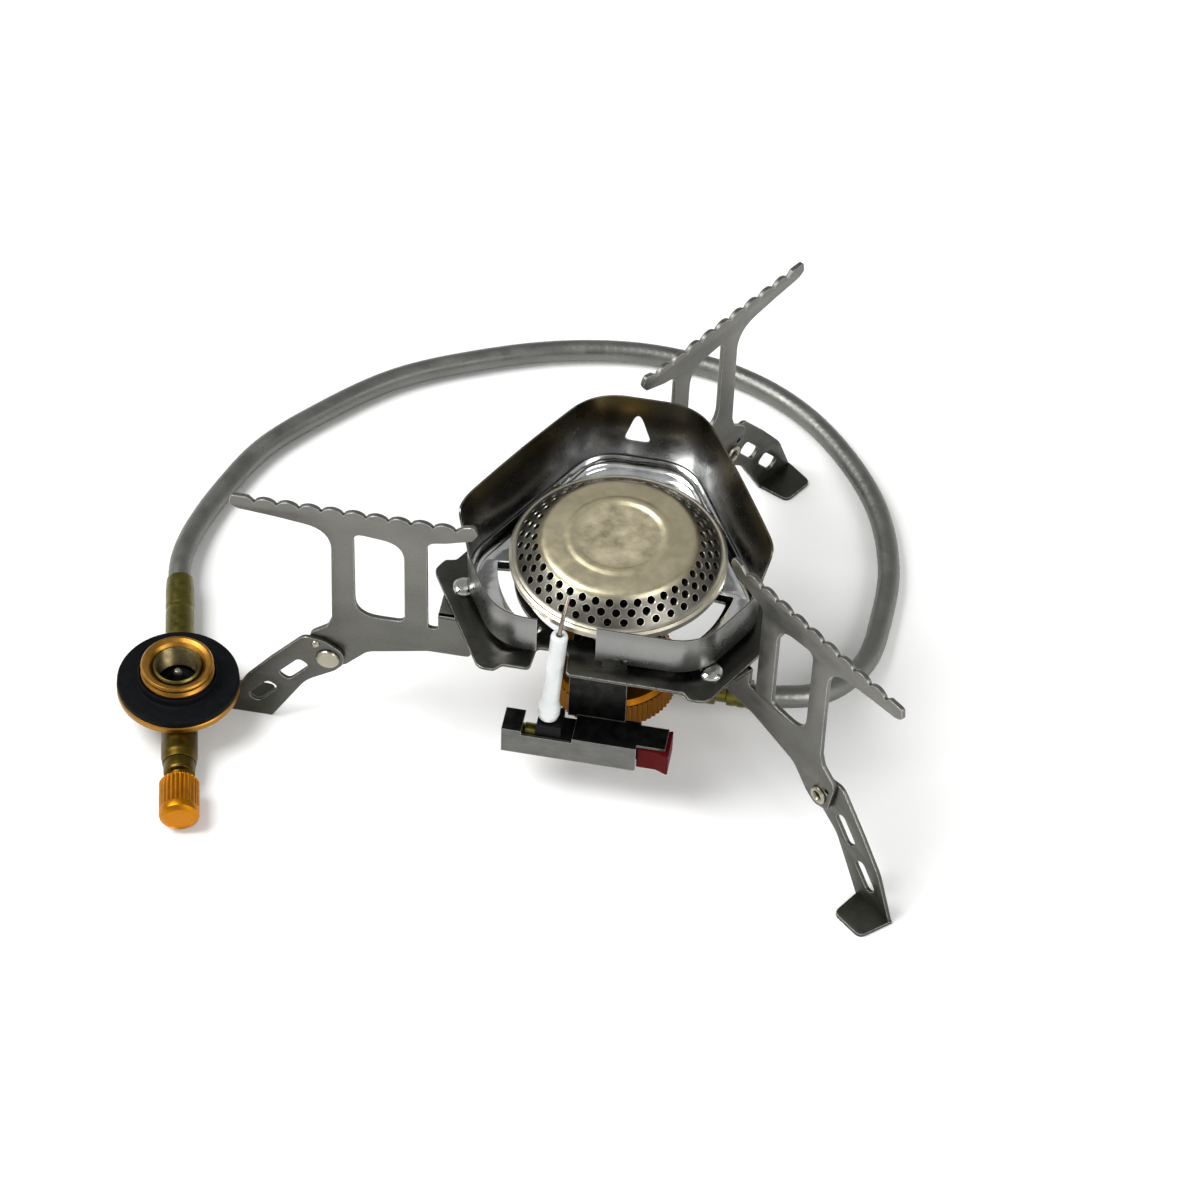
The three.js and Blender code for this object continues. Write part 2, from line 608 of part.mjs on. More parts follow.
function footStrut() {
  const [hingeX, hingeZ] = FOOT.hinge;
  const strut = outline([
    [hingeX - 4.4, hingeZ - 2, 3], [hingeX - 2, hingeZ - 5, 2], [42.5, 17.6, 8], [52.6, 0, 0],
    [66.2, 0, 0.4], [60, 15, 10], [52.5, 24.7, 8], [hingeX + 6.8, hingeZ + 7.6, 2.6],
    [hingeX + 1, hingeZ + 6.6, 3], [hingeX - 4.4, hingeZ + 2.6, 3],
  ]);
  const tilt = rad(-50);
  for (const [x, z] of [[45.9, 21.4], [55, 10.2]]) {
    const slot = [[-4.6, -2], [4.6, -2], [4.6, 2], [-4.6, 2]].map(([u, v]) => [
      x + u * Math.cos(tilt) - v * Math.sin(tilt),
      z + u * Math.sin(tilt) + v * Math.cos(tilt),
      1.6,
    ]);
    strut.holes.push(outline(slot, new THREE.Path()));
  }
  const middle = LEG.offset + LEG.sheet / 2 + 0.15 + FOOT.sheet / 2;
  const outside = middle + FOOT.sheet / 2;
  const pad = outline([
    [52.6, outside], [66.2, outside], [64.6, FOOT.toe, 2], [54, FOOT.toe, 2],
  ]);
  const hole = rod(1.8 + FIT, -2, 2, SMALL).rotateX(Math.PI / 2).translate(hingeX, middle, hingeZ);
  return solid(upright(strut, middle, FOOT.sheet))
    .add(solid(sheet(pad, 0, FOOT.sheet)))
    .subtract(solid(hole));
}

// The foot's hinge rivet: a flat head outside, a rolled eyelet inside.
function footRivet() {
  const [hingeX, hingeZ] = FOOT.hinge;
  const back = LEG.offset - LEG.sheet / 2;
  const front = LEG.offset + LEG.sheet / 2 + FOOT.sheet + 0.3;
  const profile = [
    [0, -front - 1], [2.6, -front - 1], [3.3, -front - 0.6], [3.3, -front], [1.8, -front],
    [1.8, -back + 0.1], [2.7, -back + 0.1], [2.5, -back + 1], [0, -back + 1],
  ];
  return turned(profile, SMALL).rotateX(Math.PI / 2).translate(hingeX, 0, hingeZ);
}

// The leg's pivot rivet: a domed head on the base plate and a formed end under the leg's tab.
const pivotRivet = [
  [0, 49.2], [2.6, 49.2], [3, 49.6], [3, 50], [1.8, 50], [1.8, PLATE.top],
  [3.3, PLATE.top], [3, PLATE.top + 0.8], [2, PLATE.top + 1.4], [0, PLATE.top + 1.7],
];

for (const leg of LEGS) {
  const group = new THREE.Group();
  group.position.set(...pivotOf(leg), 0);
  group.rotation.z = rad(leg.opened);
  stove.add(group);
  add(group, "leg_plate_" + leg.name, shape(legPlate()), FINISH.steel);
  add(group, "foot_strut_" + leg.name, shape(footStrut()), FINISH.steel);
  add(group, "foot_rivet_" + leg.name, footRivet(), FINISH.nickel);
  add(group, "pivot_rivet_" + leg.name, turned(pivotRivet, SMALL), FINISH.nickel);
}

// ---- the part's own frame: the middle of its box, on the table ----------------------------

stove.updateMatrixWorld(true);
const box = new THREE.Box3().setFromObject(stove, true);
const centre = box.getCenter(new THREE.Vector3());
stove.position.set(-centre.x, -centre.y, -box.min.z);

export default stove;
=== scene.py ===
"""Looks of the canister stove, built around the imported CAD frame.

Lengths in this script are millimetres until a mesh is made; Blender objects are in metres.
Pieces are placed from the frame's boxes and joints. Each leg, the valve and the igniter have
a local frame of their own, worked out from their joints.
"""
import json
import math

import bmesh
import bpy
import numpy as np
from mathutils import Matrix, Vector

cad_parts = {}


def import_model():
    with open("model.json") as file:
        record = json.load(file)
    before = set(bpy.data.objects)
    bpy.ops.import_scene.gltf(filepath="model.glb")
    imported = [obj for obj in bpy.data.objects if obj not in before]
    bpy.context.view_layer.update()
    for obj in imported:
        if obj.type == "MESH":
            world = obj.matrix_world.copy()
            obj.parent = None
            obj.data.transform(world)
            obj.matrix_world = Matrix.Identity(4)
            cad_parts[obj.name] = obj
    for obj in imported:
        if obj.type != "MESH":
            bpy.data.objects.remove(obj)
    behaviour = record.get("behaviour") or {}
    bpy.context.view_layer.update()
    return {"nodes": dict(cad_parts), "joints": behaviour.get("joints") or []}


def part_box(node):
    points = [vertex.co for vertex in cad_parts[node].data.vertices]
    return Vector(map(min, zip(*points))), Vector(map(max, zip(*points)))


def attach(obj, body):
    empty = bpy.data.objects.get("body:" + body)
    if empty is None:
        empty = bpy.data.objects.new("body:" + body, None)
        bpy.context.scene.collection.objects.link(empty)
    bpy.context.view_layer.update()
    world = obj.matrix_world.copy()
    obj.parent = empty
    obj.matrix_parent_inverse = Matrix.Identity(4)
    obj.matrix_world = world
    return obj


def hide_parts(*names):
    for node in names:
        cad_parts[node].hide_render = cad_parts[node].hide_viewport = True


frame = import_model()

MM = 0.001
ROOT = "burner_and_valve"
LEG_NAMES = ("left", "right", "rear")
JOINTS = {joint["name"]: joint for joint in frame["joints"]}


# ---- places taken from the frame ------------------------------------------------------------

def middle(node):
    low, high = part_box(node)
    return (low + high) / 2 / MM


def low_z(node):
    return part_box(node)[0].z / MM


def high_z(node):
    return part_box(node)[1].z / MM


def axes_at(origin, x_axis, y_axis, z_axis):
    """Matrix of a local frame in millimetres, as a Blender matrix in metres."""
    rows = [[x_axis[i], y_axis[i], z_axis[i], origin[i]] for i in range(3)]
    return Matrix(rows + [[0, 0, 0, 1]])


BURNER = Vector((*middle("burner_cap").xy, 0))
VALVE = Vector((*middle("valve_flange").xy, 0))
UP = Vector((0, 0, 1))

knob_axis = Vector(JOINTS["knob_turn"]["axis"])
VALVE_FRAME = axes_at(VALVE, -knob_axis.cross(UP), -knob_axis, UP)
KNOB_Z = JOINTS["knob_turn"]["pos_m"][2] / MM
KNOB_FRAME = axes_at(VALVE + UP * KNOB_Z, knob_axis.cross(UP).cross(knob_axis), UP.cross(knob_axis) * -1, knob_axis)

push_axis = Vector(JOINTS["igniter_push"]["axis"])
IGNITER_FRAME = axes_at(BURNER, -push_axis, UP.cross(-push_axis), UP)
BURNER_FRAME = axes_at(BURNER, Vector((1, 0, 0)), Vector((0, 1, 0)), UP)

inlet_axis = (middle("hose_ferrule") - BURNER)
INLET_Z = inlet_axis.z
inlet_axis.z = 0
inlet_axis.normalize()
INLET_FRAME = axes_at(BURNER + UP * INLET_Z, UP.cross(inlet_axis), UP, inlet_axis)
SLEEVE = (middle("hose_ferrule") - BURNER).xy.length - 3.4


def leg_frame(name):
    """Origin on the leg's pivot at ground level, x along the leg, y across its sheet, z up."""
    across = -Vector(JOINTS["foot_fold_" + name]["axis"])
    pivot = Vector(JOINTS["leg_swing_" + name]["pos_m"]) / MM
    return axes_at(Vector((pivot.x, pivot.y, 0)), across.cross(UP), across, UP)


# ---- mesh tools -----------------------------------------------------------------------------

def metres(place):
    """The same local frame with its origin in metres, for points given in metres."""
    matrix = place.copy()
    matrix.translation = place.translation * MM
    return matrix


def finish_mesh(obj, smooth_angle):
    mesh = obj.data
    for polygon in mesh.polygons:
        polygon.use_smooth = True
    mesh.set_sharp_from_angle(angle=math.radians(smooth_angle))


def make(name, vertices, faces, place, body, material, replaces=(), smooth_angle=35):
    """A mesh object from points in millimetres in a local frame, riding on a body."""
    mesh = bpy.data.meshes.new(name)
    mesh.from_pydata([Vector(v) * MM for v in vertices], [], faces)
    mesh.transform(metres(place))
    obj = bpy.data.objects.new(name, mesh)
    bpy.context.scene.collection.objects.link(obj)
    tidy_normals(mesh)
    finish_mesh(obj, smooth_angle)
    return dress(obj, body, material, replaces)


def tidy_normals(mesh):
    work = bmesh.new()
    work.from_mesh(mesh)
    bmesh.ops.remove_doubles(work, verts=work.verts, dist=1e-7)
    bmesh.ops.recalc_face_normals(work, faces=work.faces)
    work.to_mesh(mesh)
    work.free()


def dress(obj, body, material, replaces=()):
    obj.data.materials.clear()
    obj.data.materials.append(material)
    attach(obj, body)
    if replaces:
        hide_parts(*replaces)
    return obj


def apply_modifiers(obj):
    graph = bpy.context.evaluated_depsgraph_get()
    mesh = bpy.data.meshes.new_from_object(obj.evaluated_get(graph))
    obj.modifiers.clear()
    obj.data = mesh


def cut(obj, cutters, smooth_angle=35):
    """Subtracts the cutter objects from obj, then removes them."""
    material = obj.data.materials[0]
    for cutter in cutters:
        modifier = obj.modifiers.new("cut", "BOOLEAN")
        modifier.operation = "DIFFERENCE"
        modifier.solver = "EXACT"
        modifier.object = cutter
    bpy.context.view_layer.update()
    apply_modifiers(obj)
    for cutter in cutters:
        bpy.data.objects.remove(cutter)
    obj.data.materials.clear()
    obj.data.materials.append(material)
    finish_mesh(obj, smooth_angle)
    return obj


def arc_between(back, here, ahead, radius, steps):
    """Points of a rounded corner at `here`."""
    a, b = back - here, ahead - here
    half = a.angle(b, 0.0) / 2
    if radius <= 0 or half < 0.02 or half > math.pi / 2 - 0.02:
        return [here]
    reach = min(radius / math.tan(half), a.length * 0.49, b.length * 0.49)
    start = here + a.normalized() * reach
    end = here + b.normalized() * reach
    points = []
    for i in range(steps + 1):
        t = i / steps
        points.append((1 - t) ** 2 * start + 2 * t * (1 - t) * here + t * t * end)
    return points


def rounded(corners, steps=6):
    """A closed outline of (x, y, radius) corners as a dense list of points."""
    points = [Vector((c[0], c[1])) for c in corners]
    result = []
    for i, corner in enumerate(corners):
        radius = corner[2] if len(corner) > 2 else 0
        back, ahead = points[i - 1], points[(i + 1) % len(points)]
        result += arc_between(back, points[i], ahead, radius, steps)
    return result


def soften(profile, radius, closed):
    """Rounds the corners of a (radius, z) profile; the ends on the axis stay."""
    points = [Vector(p) for p in profile]
    count = len(points)
    result = []
    for i, here in enumerate(points):
        if not closed and i in (0, count - 1):
            result.append(here)
            continue
        back, ahead = points[i - 1], points[(i + 1) % count]
        result += arc_between(back, here, ahead, radius, 3)
    return result


def lathe_mesh(profile, segments, closed, ripple=None):
    """Points and faces of a body turned about z. ripple(angle, radius, z) gives the radius."""
    vertices, faces, rows = [], [], []
    for radius, z in profile:
        if radius < 1e-6:
            rows.append([len(vertices)] * segments)
            vertices.append((0, 0, z))
            continue
        row = []
        for k in range(segments):
            angle = 2 * math.pi * k / segments
            r = ripple(angle, radius, z) if ripple else radius
            row.append(len(vertices))
            vertices.append((r * math.cos(angle), r * math.sin(angle), z))
        rows.append(row)
    pairs = list(zip(rows, rows[1:]))
    if closed:
        pairs.append((rows[-1], rows[0]))
    for lower, upper in pairs:
        for k in range(segments):
            n = (k + 1) % segments
            face = [lower[k], lower[n], upper[n], upper[k]]
            face = list(dict.fromkeys(face))
            if len(face) > 2:
                faces.append(face)
    return vertices, faces


def turned(name, profile, place, body, material, replaces=(), soft=0.2, segments=96,
           ripple=None, smooth_angle=32):
    """A turned piece. A profile that starts off the axis is a ring and closes on itself."""
    closed = profile[0][0] > 0
    points = soften(profile, soft, closed) if soft else [Vector(p) for p in profile]
    vertices, faces = lathe_mesh([tuple(p) for p in points], segments, closed, ripple)
    return make(name, vertices, faces, place, body, material, replaces, smooth_angle)


def cutter(profile, place, segments=24):
    """A closed turned solid that only cuts."""
    vertices, faces = lathe_mesh(profile, segments, profile[0][0] > 0)
    mesh = bpy.data.meshes.new("cutter")
    mesh.from_pydata([Vector(v) * MM for v in vertices], [], faces)
    mesh.transform(metres(place))
    tidy_normals(mesh)
    obj = bpy.data.objects.new("cutter", mesh)
    bpy.context.scene.collection.objects.link(obj)
    return obj


def prism(points, depth_from, depth_to, place):
    """A cutting solid: an outline in the local x-y plane swept from -depth_from to -depth_to."""
    count = len(points)
    vertices = [(x, y, -depth_from) for x, y in points] + [(x, y, -depth_to) for x, y in points]
    faces = [[i, (i + 1) % count, count + (i + 1) % count, count + i] for i in range(count)]
    faces += [list(range(count))[::-1], list(range(count, 2 * count))]
    mesh = bpy.data.meshes.new("prism")
    mesh.from_pydata([Vector(v) * MM for v in vertices], [], faces)
    mesh.transform(metres(place))
    tidy_normals(mesh)
    obj = bpy.data.objects.new("prism", mesh)
    bpy.context.scene.collection.objects.link(obj)
    return obj


def box_cutter(low, high, place):
    corners = [(low[0], low[1]), (high[0], low[1]), (high[0], high[1]), (low[0], high[1])]
    return prism(corners, -low[2], -high[2], place)


def joined(objects):
    """One object that holds the meshes of several."""
    work = bmesh.new()
    for obj in objects:
        work.from_mesh(obj.data)
    mesh = bpy.data.meshes.new("joined")
    work.to_mesh(mesh)
    work.free()
    for obj in objects:
        bpy.data.objects.remove(obj)
    result = bpy.data.objects.new("joined", mesh)
    bpy.context.scene.collection.objects.link(result)
    return result


def plate(name, outlines, thickness, place, body, material, replaces=(), bevel=0.18):
    """A flat sheet with rounded edges. The first outline is the rim, the others are holes;
    the sheet lies in the local x-y plane, centred on z = 0."""
    curve = bpy.data.curves.new(name, "CURVE")
    curve.dimensions = "2D"
    curve.fill_mode = "BOTH"
    for points in outlines:
        spline = curve.splines.new("POLY")
        spline.points.add(len(points) - 1)
        for spline_point, point in zip(spline.points, points):
            spline_point.co = (point[0] * MM, point[1] * MM, 0, 1)
        spline.use_cyclic_u = True
    curve.extrude = (thickness / 2 - bevel) * MM
    curve.bevel_depth = bevel * MM
    curve.bevel_resolution = 1
    curve.offset = -bevel * MM
    source = bpy.data.objects.new("source", curve)
    bpy.context.scene.collection.objects.link(source)
    graph = bpy.context.evaluated_depsgraph_get()
    mesh = bpy.data.meshes.new_from_object(source.evaluated_get(graph))
    bpy.data.objects.remove(source)
    mesh.transform(metres(place))
    tidy_normals(mesh)
    obj = bpy.data.objects.new(name, mesh)
    bpy.context.scene.collection.objects.link(obj)
    finish_mesh(obj, 30)
    return dress(obj, body, material, replaces)


def smooth_path(points, samples, closed=False):
    """Even samples of a Catmull-Rom curve through the points."""
    p = [Vector(q) for q in points]
    dense = []
    last = len(p) if closed else len(p) - 1
    for i in range(last):
        p1, p2 = p[i], p[(i + 1) % len(p)]
        p0 = p[i - 1] if i or closed else p1 * 2 - p2
        p3 = p[(i + 2) % len(p)] if i + 2 < len(p) or closed else p2 * 2 - p1
        for k in range(24):
            t = k / 24
            dense.append(0.5 * (2 * p1 + (p2 - p0) * t + (2 * p0 - 5 * p1 + 4 * p2 - p3) * t * t
                                + (3 * p1 - p0 - 3 * p2 + p3) * t ** 3))
    dense.append(p[0] if closed else p[-1])
    lengths = [0.0]
    for a, b in zip(dense, dense[1:]):
        lengths.append(lengths[-1] + (b - a).length)
    result, j = [], 0
    for k in range(samples):
        target = lengths[-1] * k / (samples - 1)
        while j < len(dense) - 2 and lengths[j + 1] < target:
            j += 1
        span = lengths[j + 1] - lengths[j] or 1
        result.append(dense[j].lerp(dense[j + 1], (target - lengths[j]) / span))
    return result, lengths[-1]


def tube(name, points, radius, place, body, material, replaces=(), samples=60, sides=16,
         relief=None):
    """A round bar along a curve."""
    path, length = smooth_path(points, samples)
    vertices, faces = [], []
    normal = None
    for i, point in enumerate(path):
        ahead = path[min(i + 1, samples - 1)] - path[max(i - 1, 0)]
        tangent = ahead.normalized()
        if normal is None:
            normal = tangent.orthogonal().normalized()
        normal = (normal - tangent * normal.dot(tangent)).normalized()
        side = tangent.cross(normal)
        along = length * i / (samples - 1)
        for k in range(sides):
            angle = 2 * math.pi * k / sides
            r = radius(along / length) if callable(radius) else radius
            if relief:
                r += relief(angle, along)
            vertices.append(point + (normal * math.cos(angle) + side * math.sin(angle)) * r)
    for i in range(samples - 1):
        for k in range(sides):
            n = (k + 1) % sides
            faces.append([i * sides + k, i * sides + n, (i + 1) * sides + n, (i + 1) * sides + k])
    faces.append(list(range(sides))[::-1])
    faces.append(list(range((samples - 1) * sides, samples * sides)))
    return make(name, vertices, faces, place, body, material, replaces, 60)


# ---- materials ------------------------------------------------------------------------------

class Paint:
    """A node material: a principled shader with small helpers to build its inputs."""

    def __init__(self, name, **values):
        self.material = bpy.data.materials.new(name)
        self.material.use_nodes = True
        self.tree = self.material.node_tree
        self.shader = self.tree.nodes["Principled BSDF"]
        self.coordinates = self.tree.nodes.new("ShaderNodeTexCoord").outputs["Object"]
        for key, value in values.items():
            self.set(key.replace("_", " ").capitalize() if "_" not in key else key, value)

    def set(self, name, value):
        titles = {"color": "Base Color", "roughness": "Roughness", "metallic": "Metallic",
                  "coat": "Coat Weight", "coat_roughness": "Coat Roughness",
                  "specular": "Specular IOR Level", "normal": "Normal", "sheen": "Sheen Weight",
                  "anisotropic": "Anisotropic", "subsurface": "Subsurface Weight"}
        self.feed(self.shader.inputs[titles.get(name.lower(), name)], value)

    def feed(self, socket, value):
        if isinstance(value, bpy.types.NodeSocket):
            self.tree.links.new(value, socket)
        elif socket.type == "RGBA" and len(value) == 3:
            socket.default_value = (*value, 1)
        else:
            socket.default_value = value

    def node(self, kind, inputs=(), **settings):
        made = self.tree.nodes.new("ShaderNode" + kind)
        for key, value in settings.items():
            setattr(made, key, value)
        for key, value in dict(inputs).items():
            self.feed(made.inputs[key], value)
        return made

    def noise(self, size, detail=4, stretch=(1, 1, 1), rough=0.55):
        """Noise whose features are about `size` millimetres."""
        scale = [1 / (size * MM) / s for s in stretch]
        mapped = self.node("Mapping", {"Vector": self.coordinates, "Scale": scale})
        made = self.node("TexNoise", {"Vector": mapped.outputs[0], "Scale": 1.0,
                                      "Detail": detail, "Roughness": rough})
        return made.outputs[0]

    def ramp(self, value, *stops):
        """A grey or colour ramp of (position, colour) stops."""
        made = self.node("ValToRGB", {"Fac": value})
        elements = made.color_ramp.elements
        while len(elements) < len(stops):
            elements.new(0.5)
        for element, (position, color) in zip(elements, stops):
            element.position = position
            rgb = color if isinstance(color, tuple) else (color, color, color)
            element.color = (*rgb, 1)
        return made.outputs[0]

    def math(self, operation, a, b=0.0, clamp=False):
        made = self.node("Math", operation=operation, use_clamp=clamp)
        self.feed(made.inputs[0], a)
        self.feed(made.inputs[1], b)
        return made.outputs[0]

    def mix(self, share, a, b, blend="MIX"):
        made = self.node("Mix", data_type="RGBA", blend_type=blend)
        self.feed(made.inputs[0], share)
        self.feed(made.inputs[6], a)
        self.feed(made.inputs[7], b)
        return made.outputs[2]

    def bump(self, height, distance, strength=1.0, normal=None):
        inputs = {"Height": height, "Distance": distance * MM, "Strength": strength}
        if normal is not None:
            inputs["Normal"] = normal
        return self.node("Bump", inputs).outputs[0]

    def edges(self, reach):
        """1 along sharp edges within `reach` millimetres, 0 on open faces."""
        bevel = self.node("Bevel", {"Radius": reach * MM}, samples=4)
        plain = self.node("NewGeometry").outputs["Normal"]
        dot = self.node("VectorMath", {0: bevel.outputs[0], 1: plain}, operation="DOT_PRODUCT")
        turned_away = self.math("SUBTRACT", 1.0, dot.outputs["Value"])
        return self.math("MULTIPLY", turned_away, 6.0, clamp=True)

    def height_z(self):
        split = self.node("SeparateXYZ", {"Vector": self.coordinates})
        return split.outputs["Z"]

    def distance_from(self, point):
        """Millimetres from the upright axis through a point."""
        split = self.node("SeparateXYZ", {"Vector": self.coordinates})
        dx = self.math("SUBTRACT", split.outputs["X"], point.x * MM)
        dy = self.math("SUBTRACT", split.outputs["Y"], point.y * MM)
        square = self.math("ADD", self.math("MULTIPLY", dx, dx), self.math("MULTIPLY", dy, dy))
        return self.math("MULTIPLY", self.math("SQRT", square), 1 / MM)


def shade(color, factor):
    return tuple(min(1.0, channel * factor) for channel in color)


def metal(name, color, roughness, variation=0.25, edge=1.6, grain=0.35, grain_stretch=(1, 1, 1),
          bump=0.012, blotch=9.0, edge_reach=0.35):
    """Metal with blotches, fine grain, roughness variation and brighter edge wear."""
    paint = Paint(name, metallic=1.0)
    blotches = paint.noise(blotch, 5)
    fine = paint.noise(grain, 3, grain_stretch)
    dark, light = shade(color, 1 - variation), shade(color, 1 + variation)
    base = paint.ramp(blotches, (0.3, dark), (0.7, light))
    speckle = paint.ramp(fine, (0.3, 0.78), (0.7, 1.0))
    base = paint.mix(1.0, base, speckle, "MULTIPLY")
    wear = paint.math("MULTIPLY", paint.edges(edge_reach), paint.ramp(paint.noise(1.2, 3), (0.3, 0.25), (0.6, 1.0)))
    base = paint.mix(wear, base, shade(color, edge))
    paint.set("color", base)
    low, high = max(0.04, roughness - 0.1), min(1, roughness + 0.12)
    paint.set("roughness", paint.ramp(paint.noise(blotch * 0.5, 6), (0.3, low), (0.7, high)))
    paint.set("normal", paint.bump(fine, bump))
    return paint.material


def burner_nickel():
    """Warm nickel, lighter and patchy in the middle; the perforated cone is greyer and smoother, painted dark grey as
    painted shade in place of its dark reflection.
    """
    paint = Paint("burner_nickel", metallic=1.0)
    reach = paint.distance_from(BURNER)
    warm, pale, dark = (0.74, 0.65, 0.45), (0.97, 0.87, 0.62), (0.45, 0.40, 0.27)
    patches = paint.ramp(paint.noise(7, 6, rough=0.65), (0.36, dark), (0.5, warm), (0.66, pale))
    centre = paint.ramp(paint.math("DIVIDE", reach, 13.0), (0.75, 1.0), (1.0, 0.25))
    base = paint.mix(centre, (0.59, 0.53, 0.36), patches)
    # painted shade: the perforated cone is painted dark grey in place of the dark reflection it shows
    cone = paint.ramp(paint.math("DIVIDE", reach, 30.0), (0.68, 0.0), (0.78, 1.0))
    base = paint.mix(cone, base, (0.155, 0.148, 0.125))
    rim = paint.ramp(paint.math("DIVIDE", reach, 30.0), (0.93, 0.0), (0.96, 1.0))
    base = paint.mix(rim, base, (0.55, 0.51, 0.41))
    paint.set("color", paint.mix(paint.edges(0.3), base, (0.8, 0.77, 0.68)))
    paint.set("roughness", paint.ramp(paint.noise(3, 6), (0.3, 0.3), (0.7, 0.44)))
    scratches = paint.noise(0.5, 5, (1, 6, 1), 0.7)
    dents = paint.noise(6, 2)
    paint.set("normal", paint.bump(dents, 0.07, 0.5, paint.bump(scratches, 0.012)))
    return paint.material


def shield_steel():
    """Polished steel: grey low down, painted dark towards the tall back's top as painted shade for its dark
    reflections, with a brown heat tint there.
    """
    paint = Paint("shield_steel", metallic=1.0)
    low, high = low_z("wind_shield"), high_z("wind_shield")
    above = paint.math("SUBTRACT", paint.math("MULTIPLY", paint.height_z(), 1 / MM), low)
    height = paint.math("DIVIDE", above, high - low)
    patches = paint.noise(26, 2)
    # painted shade: the colour is painted darker up the tall back, standing in for the polished shield's dark
    # reflections; the brown heat tint is the steel's own colour
    dark = paint.ramp(height, (0.42, (0.24, 0.24, 0.235)), (0.8, (0.05, 0.047, 0.04)))
    heat = paint.ramp(height, (0.6, 0.0), (0.9, 1.0))
    tint = paint.math("MULTIPLY", heat, paint.ramp(patches, (0.4, 0.0), (0.62, 1.0)))
    base = paint.mix(tint, dark, (0.10, 0.073, 0.032))
    paint.set("color", paint.mix(paint.edges(0.25), base, (0.5, 0.49, 0.45)))
    paint.set("roughness", paint.ramp(paint.noise(10, 5), (0.3, 0.2), (0.7, 0.36)))
    lines = paint.noise(0.5, 4, (12, 12, 0.6))
    waves = paint.noise(14, 1)
    paint.set("normal", paint.bump(waves, 0.3, 0.5, paint.bump(lines, 0.006)))
    return paint.material


def channel_steel():
    """The igniter's channel: grey in front; its top and the hanger are painted near-black, a painted shade where they
    lie under the base plate.
    """
    paint = Paint("channel_steel", metallic=0.9)
    front_top = low_z("igniter_bracket") + 9.2
    above = paint.math("SUBTRACT", paint.math("MULTIPLY", paint.height_z(), 1 / MM), front_top - 0.4)
    # painted shade: above the channel's front the steel is painted near-black, where shade falls under the base plate
    black = paint.ramp(above, (0.22, 0.0), (0.34, 1.0))
    grain = paint.noise(0.45, 4, (8, 8, 1))
    grey = paint.ramp(paint.noise(6, 5), (0.3, (0.105, 0.105, 0.097)), (0.7, (0.15, 0.15, 0.142)))
    grey = paint.mix(1.0, grey, paint.ramp(grain, (0.3, 0.8), (0.7, 1.05)), "MULTIPLY")
    painted_shade_black = paint.ramp(paint.noise(3, 5), (0.35, (0.008, 0.008, 0.008)), (0.75, (0.03, 0.03, 0.028)))
    base = paint.mix(black, grey, painted_shade_black)
    paint.set("color", paint.mix(paint.edges(0.3), base, (0.5, 0.5, 0.48)))
    paint.set("roughness", paint.ramp(grain, (0.3, 0.3), (0.7, 0.45)))
    paint.set("normal", paint.bump(grain, 0.008))
    return paint.material


def leg_steel():
    """Satin sheet of the legs with bright cut edges, painted darker towards the feet as painted shade near the floor.
    """
    paint = Paint("leg_steel", metallic=1.0)
    height = paint.math("DIVIDE", paint.height_z(), 90 * MM)
    fine, blotches = paint.noise(0.35, 3), paint.noise(9, 5)
    # painted shade: the sheet is painted darker low down, near the floor
    painted_ground_shade = paint.ramp(height, (0.05, (0.075, 0.075, 0.063)), (0.8, (0.185, 0.183, 0.168)))
    base = paint.mix(1.0, painted_ground_shade, paint.ramp(blotches, (0.3, 0.84), (0.7, 1.08)), "MULTIPLY")
    base = paint.mix(1.0, base, paint.ramp(fine, (0.3, 0.8), (0.7, 1.0)), "MULTIPLY")
    wear = paint.math("MULTIPLY", paint.edges(0.35), paint.ramp(paint.noise(1.2, 3), (0.3, 0.3), (0.6, 1.0)))
    paint.set("color", paint.mix(wear, base, (0.72, 0.71, 0.67)))
    paint.set("roughness", paint.ramp(paint.noise(4.5, 6), (0.3, 0.34), (0.7, 0.52)))
    paint.set("normal", paint.bump(fine, 0.014))
    return paint.material


def mirror_steel():
    paint = Paint("mirror_steel", metallic=1.0)
    smudge = paint.noise(6, 5)
    paint.set("color", paint.ramp(smudge, (0.3, (0.74, 0.76, 0.77)), (0.7, (0.93, 0.94, 0.94))))
    paint.set("roughness", paint.ramp(smudge, (0.3, 0.08), (0.7, 0.2)))
    paint.set("normal", paint.bump(paint.noise(9, 2), 0.5, 0.6))
    return paint.material


def dull(name, color, roughness, fleck=0.25, bump=0.02, coat=0.0, grain=0.5, specular=0.5):
    """Plastic, rubber or ceramic with a fine surface, dust and slight unevenness."""
    paint = Paint(name)
    dust = paint.noise(2.5, 6)
    paint.set("color", paint.ramp(dust, (0.3, shade(color, 1 - fleck)), (0.75, shade(color, 1 + fleck))))
    paint.set("roughness", paint.ramp(paint.noise(1.5, 4), (0.3, roughness - 0.06), (0.7, roughness + 0.08)))
    paint.set("specular", specular)
    paint.set("coat", coat)
    paint.set("coat_roughness", 0.12)
    paint.set("normal", paint.bump(paint.noise(grain, 3), bump))
    return paint.material


